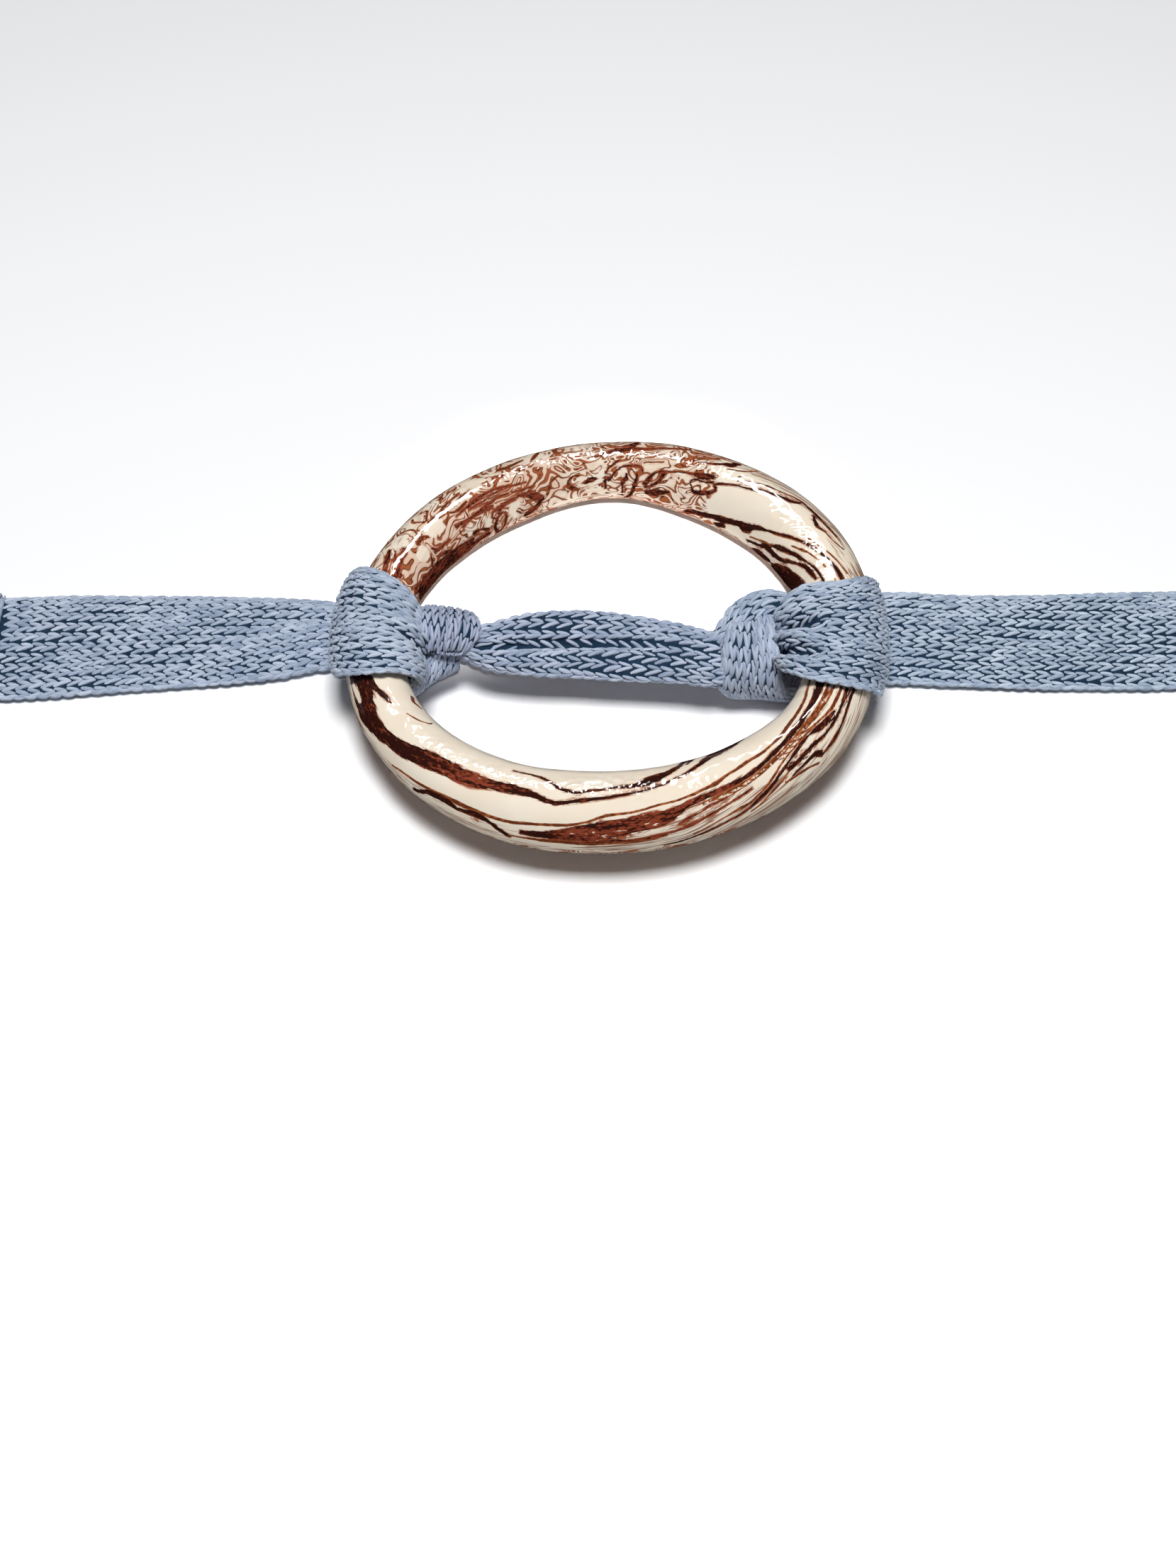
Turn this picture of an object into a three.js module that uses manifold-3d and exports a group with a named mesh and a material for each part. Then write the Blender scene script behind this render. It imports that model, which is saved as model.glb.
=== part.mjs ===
// Ring belt: a hand-formed ring of marbled glazed clay, with one knitted strap hitched on both of its
// limbs. Millimetres, +Z up. The belt lies on the plane z = 0, its strap along X, and the ring's centre
// is above the origin.

import * as THREE from 'three';
import { mergeVertices } from 'three/addons/utils/BufferGeometryUtils.js';
import Module from 'manifold-3d';

// Driving dimensions

// The tube's centre lies this far above the floor, on two layers of strap at each limb.
const ringHeight = 11.9;
// Ring, by the turn from +X in degrees: reach of the tube's centre line, and the tube's radius.
const ringSections = [
  { turn: 0, reach: 41.5, tube: 6.3 },
  { turn: 30, reach: 42.1, tube: 6.9 },
  { turn: 60, reach: 41.9, tube: 6.5 },
  { turn: 90, reach: 42.0, tube: 5.4 },
  { turn: 120, reach: 40.2, tube: 5.9 },
  { turn: 150, reach: 40.5, tube: 5.8 },
  { turn: 180, reach: 42.0, tube: 5.3 },
  { turn: 210, reach: 42.9, tube: 5.6 },
  { turn: 240, reach: 42.1, tube: 6.6 },
  { turn: 270, reach: 40.4, tube: 7.0 },
  { turn: 300, reach: 40.6, tube: 6.7 },
  { turn: 330, reach: 41.9, tube: 6.3 },
];
const ringStations = 84;
const ringSides = 18;

// The strap keeps this clear of the ring's glaze.
const strapGap = 0.3;
// The strap's free ends, level with each other.
const tailReach = 115;
// Points round one cross-section of the strap, and how square its flattened section is.
const strapSides = 18;
const strapSquareness = 5;

// Free stretches of the strap, a row for each section along the run: the strap's two edges, its thickness
// there, and how far its middle stands proud of the line between the edges.
const leftTail = [
  { far: [-tailReach, 18.6, 1.3], near: [-tailReach, -7.2, 1.3], thick: 2.8, puff: 0 },
  { far: [-100, 19.3, 1.3], near: [-100, -6.2, 1.3], thick: 2.8, puff: 0 },
  { far: [-85, 19.2, 1.3], near: [-85, -4.5, 1.3], thick: 2.8, puff: 0.1 },
  { far: [-70, 18.8, 1.4], near: [-70, -3.2, 1.4], thick: 3.0, puff: 0.3 },
  { far: [-60, 18.3, 1.5], near: [-60, -1.8, 1.5], thick: 3.2, puff: 0.6 },
  { far: [-52, 17.4, 1.6], near: [-52, 0.2, 1.5], thick: 3.3, puff: 0.8 },
  { far: [-44, 15.5, 1.5], near: [-44, -0.5, 1.4], thick: 3.0, puff: 0.1 },
  { far: [-36, 9.5, 1.5], near: [-37, -4.5, 1.5], thick: 3.0, puff: 0 },
];
const leftFlap = [
  { far: [-37, 9.0, 1.6], near: [-38, -4.5, 1.6], thick: 3.0, puff: 0 },
  { far: [-31, 4.0, 2.2], near: [-36.8, -6.4, 3.0], thick: 3.2, puff: 0.3 },
  { far: [-27.2, 0.2, 4.6], near: [-35.6, -8.4, 5.8], thick: 3.6, puff: 0.8 },
  { far: [-26.4, -1.4, 7.4], near: [-35.2, -8.2, 9.4], thick: 3.6, puff: 0.9 },
  { far: [-27.0, 0.6, 9.2], near: [-34.8, -4.0, 11.2], thick: 3.0, puff: 0 },
];
const leftKnot = [
  { far: [-34.5, 12.0, 4.8], near: [-37, 0.0, 4.6], thick: 2.8, puff: 0 },
  { far: [-28.5, 10.0, 5.2], near: [-35.0, 5.0, 5.4], thick: 4.0, puff: 0 },
  { far: [-24.2, 6.2, 8.0], near: [-35.2, 6.6, 8.8], thick: 4.2, puff: 0.3 },
  { far: [-23.2, 2.6, 11.4], near: [-35.2, 3.8, 13.0], thick: 4.2, puff: 0.5 },
  { far: [-22.8, -1.4, 12.8], near: [-35.0, -1.2, 14.6], thick: 4.2, puff: 0.7 },
  { far: [-23.8, -4.2, 11.6], near: [-34.8, -4.8, 13.4], thick: 3.8, puff: 0.6 },
  { far: [-25.4, -4.4, 9.8], near: [-34.4, -5.4, 11.2], thick: 3.0, puff: 0.2 },
];
const bridge = [
  { far: [-37, 3.4, 10.0], near: [-37, -8.0, 10.0], thick: 4.0, puff: 0 },
  { far: [-30, 2.2, 9.8], near: [-30, -5.8, 9.0], thick: 4.4, puff: 0.6 },
  { far: [-23, 3.0, 10.8], near: [-23, -6.0, 9.2], thick: 4.4, puff: 1.0 },
  { far: [-15, 6.2, 10.6], near: [-15, -7.6, 8.9], thick: 4.0, puff: 1.0 },
  { far: [-6, 7.4, 10.2], near: [-6, -8.1, 8.6], thick: 3.8, puff: 0.9 },
  { far: [3, 6.3, 10.2], near: [3, -8.7, 8.6], thick: 3.8, puff: 0.9 },
  { far: [12, 3.9, 10.6], near: [12, -9.4, 8.9], thick: 4.0, puff: 1.0 },
  { far: [19, 1.6, 10.8], near: [19, -10.2, 9.0], thick: 4.2, puff: 0.6 },
  { far: [27, 2.4, 10.4], near: [27, -7.6, 9.4], thick: 4.4, puff: 0 },
  { far: [33, 3.4, 13.4], near: [33, -5.0, 12.4], thick: 4.4, puff: 0 },
];
const rightArc = [
  { far: [16.4, 0.4, 9.8], near: [17.4, -4.2, 8.8], thick: 3.2, puff: 0 },
  { far: [19.2, 2.0, 11.2], near: [23.0, -3.4, 12.0], thick: 4.0, puff: 0.5 },
  { far: [22.2, 5.2, 12.0], near: [25.8, -1.2, 13.6], thick: 4.4, puff: 0.9 },
  { far: [27.2, 7.0, 12.8], near: [29.0, 0.4, 15.0], thick: 4.4, puff: 0.9 },
  { far: [33.0, 7.2, 14.6], near: [33.4, 0.6, 16.8], thick: 4.0, puff: 0.4 },
  { far: [38.0, 5.4, 17.4], near: [37.6, 0.2, 19.0], thick: 3.0, puff: 0 },
];
const rightKnot = [
  { far: [35.0, 13.0, 4.2], near: [36.0, 1.0, 4.2], thick: 2.6, puff: 0 },
  { far: [25.0, 8.0, 6.2], near: [30.8, 6.0, 6.6], thick: 4.2, puff: 0 },
  { far: [23.4, 4.2, 9.6], near: [30.4, 4.2, 10.6], thick: 4.6, puff: 0.2 },
  { far: [21.0, 0.2, 12.8], near: [29.6, 1.4, 14.2], thick: 4.8, puff: 0.6 },
  { far: [19.8, -3.8, 13.4], near: [29.9, -3.4, 14.6], thick: 5.0, puff: 0.9 },
  { far: [19.4, -7.0, 11.4], near: [30.6, -7.2, 12.2], thick: 5.0, puff: 0.9 },
  { far: [18.8, -8.4, 8.4], near: [31.0, -8.8, 8.8], thick: 4.8, puff: 0.8 },
  { far: [20.6, -7.4, 4.8], near: [32.2, -8.0, 4.8], thick: 4.2, puff: 0.6 },
  { far: [27.0, -3.4, 2.1], near: [35.0, -6.4, 1.9], thick: 3.4, puff: 0.2 },
  { far: [32.0, 6.0, 1.5], near: [39.0, -5.2, 1.4], thick: 3.0, puff: 0 },
];
const rightTail = [
  { far: [30.0, 5.0, 1.5], near: [37.5, -6.0, 1.4], thick: 3.0, puff: 0 },
  { far: [37.0, 13.0, 1.4], near: [43.0, -4.4, 1.3], thick: 2.8, puff: 0 },
  { far: [46.0, 19.0, 1.4], near: [49.0, -3.4, 1.3], thick: 2.8, puff: 0.1 },
  { far: [55, 20.2, 1.4], near: [55, -3.4, 1.4], thick: 3.0, puff: 0.3 },
  { far: [65, 19.4, 1.4], near: [65, -3.8, 1.4], thick: 3.0, puff: 0.3 },
  { far: [80, 19.4, 1.3], near: [80, -4.4, 1.3], thick: 2.8, puff: 0.2 },
  { far: [97, 20.2, 1.3], near: [97, -4.4, 1.3], thick: 2.8, puff: 0 },
  { far: [tailReach, 20.4, 1.3], near: [tailReach, -4.0, 1.3], thick: 2.8, puff: 0 },
];

// Stretches wound on a limb, a row for each section round the tube: the angle round the tube from the
// side that faces the hole, over the top; how far the strap's edges lie along the limb from the X axis;
// the strap's clearance from the glaze; its thickness; and how far its middle stands proud.
const leftWrap = [
  { round: -20, far: 2.4, near: -9.4, clear: 0.5, thick: 4.0, puff: 0.2 },
  { round: 10, far: 3.6, near: -13.6, clear: 0.5, thick: 3.8, puff: 0.6 },
  { round: 40, far: 6.2, near: -15.6, clear: 0.4, thick: 3.4, puff: 0.6 },
  { round: 70, far: 8.4, near: -16.0, clear: 0.3, thick: 3.0, puff: 0.3 },
  { round: 100, far: 9.4, near: -15.6, clear: 0.3, thick: 2.8, puff: 0.1 },
  { round: 130, far: 10.2, near: -13.6, clear: 0.3, thick: 2.6, puff: 0 },
  { round: 160, far: 11.0, near: -10.8, clear: 0.3, thick: 2.6, puff: 0 },
  { round: 190, far: 11.8, near: -8.4, clear: 0.3, thick: 2.6, puff: 0 },
  { round: 225, far: 13.0, near: -6.2, clear: 0.3, thick: 2.6, puff: 0 },
  { round: 260, far: 13.8, near: -3.6, clear: 0.3, thick: 2.6, puff: 0 },
  { round: 300, far: 13.4, near: -1.0, clear: 0.4, thick: 2.8, puff: 0 },
];
const rightWrap = [
  { round: 4, far: 2.6, near: -8.6, clear: 2.4, thick: 5.0, puff: 0.6 },
  { round: 24, far: 3.6, near: -13.8, clear: 1.8, thick: 4.4, puff: 1.2 },
  { round: 45, far: 4.8, near: -17.0, clear: 0.8, thick: 3.6, puff: 1.0 },
  { round: 65, far: 5.2, near: -18.2, clear: 0.4, thick: 3.0, puff: 0.5 },
  { round: 90, far: 5.8, near: -18.6, clear: 0.3, thick: 2.6, puff: 0.1 },
  { round: 120, far: 7.4, near: -18.2, clear: 0.3, thick: 2.4, puff: 0 },
  { round: 150, far: 9.0, near: -16.4, clear: 0.3, thick: 2.2, puff: 0 },
  { round: 180, far: 10.4, near: -13.0, clear: 0.3, thick: 2.2, puff: 0 },
  { round: 215, far: 12.4, near: -9.4, clear: 0.3, thick: 2.2, puff: 0 },
  { round: 255, far: 13.8, near: -6.0, clear: 0.3, thick: 2.2, puff: 0 },
  { round: 300, far: 13.0, near: -2.0, clear: 0.4, thick: 2.4, puff: 0 },
];

// Lengthwise folds: the share of the run where a fold starts and ends, its place across the strap from
// -1 at the far edge to 1 at the near one, at its start and end, and its depth and spread.
const leftTailFolds = [
  { start: 0.45, end: 1.0, fromPlace: -0.45, toPlace: -0.3, depth: 0.9, spread: 0.16 },
];
const bridgeFolds = [
  { start: 0.14, end: 0.72, fromPlace: 0.35, toPlace: -0.02, depth: 1.7, spread: 0.14 },
];
const rightTailFolds = [
  { start: 0.3, end: 0.95, fromPlace: -0.1, toPlace: -0.05, depth: 0.5, spread: 0.25 },
];
const rightKnotFolds = [
  { start: 0.3, end: 0.75, fromPlace: 0.75, toPlace: 0.35, depth: 0.7, spread: 0.1 },
  { start: 0.35, end: 0.7, fromPlace: 0.95, toPlace: 0.7, depth: 0.7, spread: 0.1 },
];
const rightWrapFolds = [
  { start: -0.1, end: 0.3, fromPlace: -0.15, toPlace: -0.35, depth: 2.6, spread: 0.16 },
  { start: -0.1, end: 0.26, fromPlace: 0.3, toPlace: 0.05, depth: 1.8, spread: 0.12 },
];
const leftWrapFolds = [
  { start: -0.1, end: 0.3, fromPlace: -0.05, toPlace: 0.1, depth: 1.1, spread: 0.14 },
];

// The strap's stretches from left to right: their sections, folds and number of stations, and for those
// wound on a limb, the side of the hole that it lies on.
const stretches = [
  { rows: leftTail, folds: leftTailFolds, stations: 18 },
  { rows: leftFlap, folds: [], stations: 12 },
  { rows: leftKnot, folds: [], stations: 16 },
  { rows: leftWrap, folds: leftWrapFolds, stations: 28, limb: -1 },
  { rows: bridge, folds: bridgeFolds, stations: 26 },
  { rows: rightArc, folds: [], stations: 14 },
  { rows: rightWrap, folds: rightWrapFolds, stations: 30, limb: 1 },
  { rows: rightKnot, folds: rightKnotFolds, stations: 24 },
  { rows: rightTail, folds: rightTailFolds, stations: 18 },
];
// Depth of the block that presses the strap's underside flat.
const floorDepth = 20;

// Tables and curves

const radians = Math.PI / 180;

// A smooth curve through four neighbouring values, from the second to the third.
function between(a, b, c, d, share) {
  const square = share * share;
  return 0.5 * (2 * b + (c - a) * share + (2 * a - 5 * b + 4 * c - d) * square
    + (3 * b - a - 3 * c + d) * square * share);
}

function alongTable(values, share) {
  const last = values.length - 1;
  const place = Math.min(Math.max(share, 0), 1) * last;
  const index = Math.min(Math.floor(place), last - 1);
  const pick = (i) => values[Math.min(Math.max(i, 0), last)];
  return between(pick(index - 1), pick(index), pick(index + 1), pick(index + 2), place - index);
}

function roundTable(values, share) {
  const count = values.length;
  const place = (((share % 1) + 1) % 1) * count;
  const index = Math.floor(place);
  const pick = (i) => values[(i + count) % count];
  return between(pick(index - 1), pick(index), pick(index + 1), pick(index + 2), place - index);
}

const column = (rows, name) => rows.map((row) => row[name]);
const reachAt = (turn) => roundTable(column(ringSections, 'reach'), turn / (2 * Math.PI));
const tubeAt = (turn) => roundTable(column(ringSections, 'tube'), turn / (2 * Math.PI));

// A point beside the ring: the turn about Z, the angle round the tube from the side that faces the
// hole, over the top, and the height above the glaze.
function besideRing(turn, round, height) {
  const distance = tubeAt(turn) + height;
  const radius = reachAt(turn) - distance * Math.cos(round);
  return new THREE.Vector3(
    radius * Math.cos(turn), radius * Math.sin(turn), ringHeight + distance * Math.sin(round),
  );
}

// Solids

// A closed mesh through rings of points, with a point at the middle of each open end.
function skin(rings, closed) {
  const sides = rings[0].length;
  const points = rings.flat();
  const faces = [];
  const spans = closed ? rings.length : rings.length - 1;
  for (let i = 0; i < spans; i += 1) {
    const here = i * sides;
    const next = ((i + 1) % rings.length) * sides;
    for (let j = 0; j < sides; j += 1) {
      const k = (j + 1) % sides;
      faces.push(here + j, next + j, next + k, here + j, next + k, here + k);
    }
  }
  if (!closed) {
    for (const [ring, flip] of [[0, false], [rings.length - 1, true]]) {
      const middle = rings[ring].reduce((sum, p) => sum.add(p), new THREE.Vector3());
      points.push(middle.divideScalar(sides));
      const centre = points.length - 1;
      for (let j = 0; j < sides; j += 1) {
        const a = ring * sides + j;
        const b = ring * sides + ((j + 1) % sides);
        faces.push(centre, flip ? b : a, flip ? a : b);
      }
    }
  }
  const geometry = new THREE.BufferGeometry().setFromPoints(points);
  geometry.setIndex(faces);
  return geometry;
}

function ringGeometry(extra) {
  const rings = [];
  for (let i = 0; i < ringStations; i += 1) {
    const turn = (i / ringStations) * 2 * Math.PI;
    const loop = [];
    for (let j = 0; j < ringSides; j += 1) {
      loop.push(besideRing(turn, (j / ringSides) * 2 * Math.PI, extra));
    }
    rings.push(loop);
  }
  return skin(rings, true);
}

// How deep the folds press the strap in, at a share of the run and a place across it.
function foldDepth(folds, share, place) {
  let depth = 0;
  for (const fold of folds) {
    const part = (share - fold.start) / (fold.end - fold.start);
    if (part > 0 && part < 1) {
      const middle = fold.fromPlace + (fold.toPlace - fold.fromPlace) * part;
      const fade = Math.sin(Math.PI * part);
      depth += fold.depth * fade * Math.exp(-(((place - middle) / fold.spread) ** 2));
    }
  }
  return depth;
}

// One section of the flattened tube: places across from -1 to 1 and heights from -1 to 1.
function sectionPoints() {
  const points = [];
  for (let j = 0; j < strapSides; j += 1) {
    const angle = (j / strapSides) * 2 * Math.PI;
    const place = Math.sign(Math.cos(angle)) * Math.abs(Math.cos(angle)) ** (2 / strapSquareness);
    points.push({ place: -place, height: Math.sin(angle) });
  }
  return points;
}

// A stretch of strap from its sections' edges.
function freeBand(rows, folds, stations) {
  const edge = (name, share) => new THREE.Vector3(
    ...[0, 1, 2].map((axis) => alongTable(rows.map((row) => row[name][axis]), share)),
  );
  const step = 0.5 / stations;
  const rings = [];
  for (let i = 0; i <= stations; i += 1) {
    const share = i / stations;
    const far = edge('far', share);
    const near = edge('near', share);
    const middle = (s) => edge('far', s).add(edge('near', s)).multiplyScalar(0.5);
    const ahead = middle(share + step).sub(middle(share - step)).normalize();
    const across = far.clone().sub(near).normalize();
    const up = ahead.clone().cross(across).normalize();
    const thick = alongTable(column(rows, 'thick'), share);
    const puff = alongTable(column(rows, 'puff'), share);
    rings.push(sectionPoints().map(({ place, height }) => {
      const lift = puff * (1 - place * place) - foldDepth(folds, share, place);
      return far.clone().lerp(near, (place + 1) / 2)
        .addScaledVector(up, lift + (height * thick) / 2);
    }));
  }
  return skin(rings, false);
}

// A stretch of strap wound on the limb that lies on the side +1 (right) or -1 (left) of the hole.
function woundBand(rows, folds, stations, side) {
  const rings = [];
  for (let i = 0; i <= stations; i += 1) {
    const share = i / stations;
    const [round, far, near, clear, thick, puff] = ['round', 'far', 'near', 'clear', 'thick', 'puff']
      .map((name) => alongTable(column(rows, name), share));
    rings.push(sectionPoints().map(({ place, height }) => {
      const along = far + ((near - far) * (place + 1)) / 2;
      const limb = side > 0 ? 0 : Math.PI;
      const turn = limb + (side * along) / reachAt(limb);
      const lift = clear + (thick * (1 + height)) / 2
        + puff * (1 - place * place) - foldDepth(folds, share, place);
      return besideRing(turn, round * radians, lift);
    }));
  }
  return skin(rings, false);
}

// Joining and cutting

const wasm = await Module();
wasm.setup();

// A manifold solid from a closed mesh, turned the right way out.
function solid(geometry) {
  geometry.deleteAttribute('normal');
  geometry.deleteAttribute('uv');
  const merged = mergeVertices(geometry, 1e-4);
  const vertProperties = new Float32Array(merged.attributes.position.array);
  const triVerts = new Uint32Array(merged.index.array);
  const make = () => new wasm.Manifold(new wasm.Mesh({ numProp: 3, vertProperties, triVerts }));
  const body = make();
  if (body.volume() > 0) {
    return body;
  }
  for (let i = 0; i < triVerts.length; i += 3) {
    [triVerts[i], triVerts[i + 1]] = [triVerts[i + 1], triVerts[i]];
  }
  return make();
}

function toGeometry(body) {
  const mesh = body.getMesh();
  const geometry = new THREE.BufferGeometry();
  geometry.setAttribute('position', new THREE.BufferAttribute(mesh.vertProperties, 3));
  geometry.setIndex(new THREE.BufferAttribute(mesh.triVerts, 1));
  return geometry;
}

// The whole strap: every stretch joined, cleared of the ring and pressed flat on the floor. Of the shells
// that are left, the largest is the strap, and the others are pockets between its plies.
function strapGeometry() {
  const bands = stretches.map(({ rows, folds, stations, limb }) => (
    limb ? woundBand(rows, folds, stations, limb) : freeBand(rows, folds, stations)
  ));
  const joined = bands.map(solid).reduce((sum, band) => sum.add(band));
  const floor = new THREE.BoxGeometry(3 * tailReach, 3 * tailReach, floorDepth)
    .translate(0, 0, -floorDepth / 2);
  const cleared = joined.subtract(solid(ringGeometry(strapGap))).subtract(solid(floor));
  const shells = cleared.decompose().sort((a, b) => b.volume() - a.volume());
  return toGeometry(shells[0]);
}

// The belt

const clay = new THREE.MeshStandardMaterial({ color: 0xddcdb2, roughness: 0.12, metalness: 0 });
const knit = new THREE.MeshStandardMaterial({ color: 0x8fa0b8, roughness: 0.9, metalness: 0 });

const belt = new THREE.Group();
const ring = new THREE.Mesh(toGeometry(solid(ringGeometry(0))), clay);
ring.name = 'ring';
const strap = new THREE.Mesh(strapGeometry(), knit);
strap.name = 'strap';
belt.add(ring, strap);

export default belt;
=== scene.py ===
# A ring belt lying on a pale table: a hand-formed ring of marbled, glazed clay, with one knitted strap
# hitched on both of its limbs. Blender works in metres; the tables of shapes are in millimetres.

import math
import bpy
import numpy as np
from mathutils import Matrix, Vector, noise
from mathutils.bvhtree import BVHTree


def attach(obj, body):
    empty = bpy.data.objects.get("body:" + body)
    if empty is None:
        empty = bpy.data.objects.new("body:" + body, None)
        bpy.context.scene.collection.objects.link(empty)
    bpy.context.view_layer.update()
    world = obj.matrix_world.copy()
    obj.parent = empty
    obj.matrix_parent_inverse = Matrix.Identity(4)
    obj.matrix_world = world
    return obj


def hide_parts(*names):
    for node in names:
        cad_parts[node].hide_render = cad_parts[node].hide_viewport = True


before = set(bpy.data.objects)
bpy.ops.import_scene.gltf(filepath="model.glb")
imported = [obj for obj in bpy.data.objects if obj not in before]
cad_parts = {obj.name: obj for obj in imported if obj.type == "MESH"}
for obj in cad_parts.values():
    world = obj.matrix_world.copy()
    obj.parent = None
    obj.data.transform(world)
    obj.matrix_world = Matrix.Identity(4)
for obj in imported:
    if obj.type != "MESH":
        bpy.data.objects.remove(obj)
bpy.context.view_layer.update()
millimetre = 0.001
wholeTurn = 2 * math.pi


def paint(red, green, blue):
    # a colour from 0 to 255, made linear
    shares = [part / 255 for part in (red, green, blue)]
    linear = [part / 12.92 if part <= 0.04045 else ((part + 0.055) / 1.055) ** 2.4 for part in shares]
    return (*linear, 1.0)


def unit(vectors):
    return vectors / (np.linalg.norm(vectors, axis=-1)[..., None] + 1e-12)


def swing(angles, middle):
    # degrees from the middle, by the short way round
    return (angles - middle + 180) % 360 - 180


# The camera, at the angle above the table that the belt is looked at from

view = {
    "ringHeight": 11.9,  # the ring's centre above the table
    "elevation": 48.0,
    "distance": 400.0,
    "focal": 3135.0,  # in pixels of the whole picture
    "seenAt": (860.6, 894.1),  # where the ring's centre stands in the picture
    "picture": (1659, 2212),
    "sensor": 36.0,
}


def placeCamera():
    wide, high = view["picture"]
    right = (view["seenAt"][0] - wide / 2) / view["focal"]
    up = (high / 2 - view["seenAt"][1]) / view["focal"]
    pitch = math.radians(view["elevation"]) + math.atan(up)
    lens = bpy.data.cameras.new("camera")
    lens.sensor_fit = "VERTICAL"
    lens.sensor_height = view["sensor"]
    lens.lens = view["focal"] / high * view["sensor"]
    lens.clip_start = 0.01
    camera = bpy.data.objects.new("camera", lens)
    bpy.context.collection.objects.link(camera)
    camera.rotation_euler = (math.pi / 2 - pitch, 0, 0)
    ray = camera.rotation_euler.to_matrix() @ Vector((right, up, -1)).normalized()
    centre = Vector((0, 0, view["ringHeight"]))
    camera.location = (centre - ray * view["distance"]) * millimetre
    bpy.context.scene.camera = camera


# Shader maths

class Wire:
    # a socket that can be used in an expression; each step adds a Math node
    def __init__(self, finish, socket):
        self.finish = finish
        self.socket = socket

    def maths(self, operation, *values):
        return self.finish.add("Math", {"operation": operation}, dict(enumerate(values)))

    def __add__(self, other):
        return self.maths("ADD", self, other)

    def __sub__(self, other):
        return self.maths("SUBTRACT", self, other)

    def __rsub__(self, other):
        return self.maths("SUBTRACT", other, self)

    def __mul__(self, other):
        return self.maths("MULTIPLY", self, other)

    def __abs__(self):
        return self.maths("ABSOLUTE", self)

    __radd__ = __add__
    __rmul__ = __mul__


class Finish:
    # one material and its nodes
    def __init__(self, name):
        self.material = bpy.data.materials.new(name)
        self.material.use_nodes = True
        self.tree = self.material.node_tree
        self.tree.nodes.clear()

    def add(self, kind, settings=None, inputs=None, output=0):
        node = self.tree.nodes.new("ShaderNode" + kind)
        for name, value in (settings or {}).items():
            setattr(node, name, value)
        for name, value in (inputs or {}).items():
            if isinstance(value, Wire):
                self.tree.links.new(value.socket, node.inputs[name])
            else:
                node.inputs[name].default_value = value
        return Wire(self, node.outputs[output])

    def attribute(self, name, output="Vector"):
        return self.add("Attribute", {"attribute_name": name}, output=output)

    def split(self, vector):
        node = self.add("SeparateXYZ", inputs={0: vector}).socket.node
        return [Wire(self, socket) for socket in node.outputs]

    def scaled(self, vector, scale):
        return self.add("VectorMath", {"operation": "MULTIPLY"}, {0: vector, 1: scale})

    def cloud(self, vector, scale, detail=2.0, distortion=0.0, output=0):
        # noise from 0 to 1, or three of them
        return self.add("TexNoise", inputs={
            "Vector": vector, "Scale": scale, "Detail": detail, "Distortion": distortion}, output=output)

    def rise(self, value, low, high):
        # 0 below low, 1 above high and smooth between
        return self.add("MapRange", {"interpolation_type": "SMOOTHSTEP"}, {
            "Value": value, "From Min": low, "From Max": high})

    def lower(self, first, second):
        return first.maths("MINIMUM", first, second)

    def higher(self, first, second):
        return first.maths("MAXIMUM", first, second)

    def blend(self, share, first, second):
        return self.add("Mix", {"data_type": "RGBA"}, {0: share, 6: first, 7: second}, output=2)

    def surface(self, inputs):
        shader = self.add("BsdfPrincipled", inputs=inputs)
        out = self.tree.nodes.new("ShaderNodeOutputMaterial")
        self.tree.links.new(shader.socket, out.inputs["Surface"])
        return self.material


# Smooth curves through the rows of a table

def throughRows(rows, shares, closed=False):
    rows = np.asarray(rows, float)
    count = len(rows)
    if closed:
        place = (np.asarray(shares) % 1) * count
        index = np.floor(place).astype(int)
        picks = [rows[(index + step) % count] for step in (-1, 0, 1, 2)]
    else:
        place = np.clip(shares, 0, 1) * (count - 1)
        index = np.minimum(np.floor(place).astype(int), count - 2)
        picks = [rows[np.clip(index + step, 0, count - 1)] for step in (-1, 0, 1, 2)]
    share = place - index
    if rows.ndim > 1:
        share = share[..., None]
    a, b, c, d = picks
    return 0.5 * (2 * b + (c - a) * share + (2 * a - 5 * b + 4 * c - d) * share**2
                  + (3 * b - a - 3 * c + d) * share**3)


# The ring

ring = {
    # from +X and every 30 degrees round: the tube's centre line from the ring's axis, and its radius
    "sections": [
        (41.5, 6.3), (42.1, 6.9), (41.9, 6.5), (42.0, 5.4), (40.2, 5.9), (40.5, 5.8),
        (42.0, 5.3), (42.9, 5.6), (42.1, 6.6), (40.4, 7.0), (40.6, 6.7), (41.9, 6.3),
    ],
    "loops": 160,
    "sides": 28,
    "smoothing": 2,
    "dents": [(9.0, 0.15), (3.4, 0.045)],  # size and height of the marks that hands left in the clay
    # the clay was twisted as it was rolled: from each turn on, degrees around the tube for each degree on
    "twists": [(0, 1.85), (60, 0.5), (285, 1.85), (360, 1.85)],
    "reading": 3.0,  # streaks are known this far from their middles
    "thinnest": 0.42,  # a streak whose half is narrower is drawn from its signed distance
    "slack": 0.15,  # and its plain distance is shortened by this, so that the line never breaks
    "narrowest": 0.2,  # no streak is narrower than this
    "perDegree": (0.72, 0.11),  # millimetres on the tube for a degree of turn, and of angle around it
    "streakStep": 0.1,  # between the points that a streak is measured from
    "streakMargin": 8,  # degrees of turn beyond a streak's ends in which it is looked for
    "patchEdges": (8, 14),  # degrees over which a patch fades out along the ring and around it
    "spotFade": 0.6,  # swirls fade out this far from a cream spot
    "calmest": 0.3,  # and keep this share inside it
    "runEdge": 1.6,  # reaches of a run at which it has faded out
}


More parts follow.
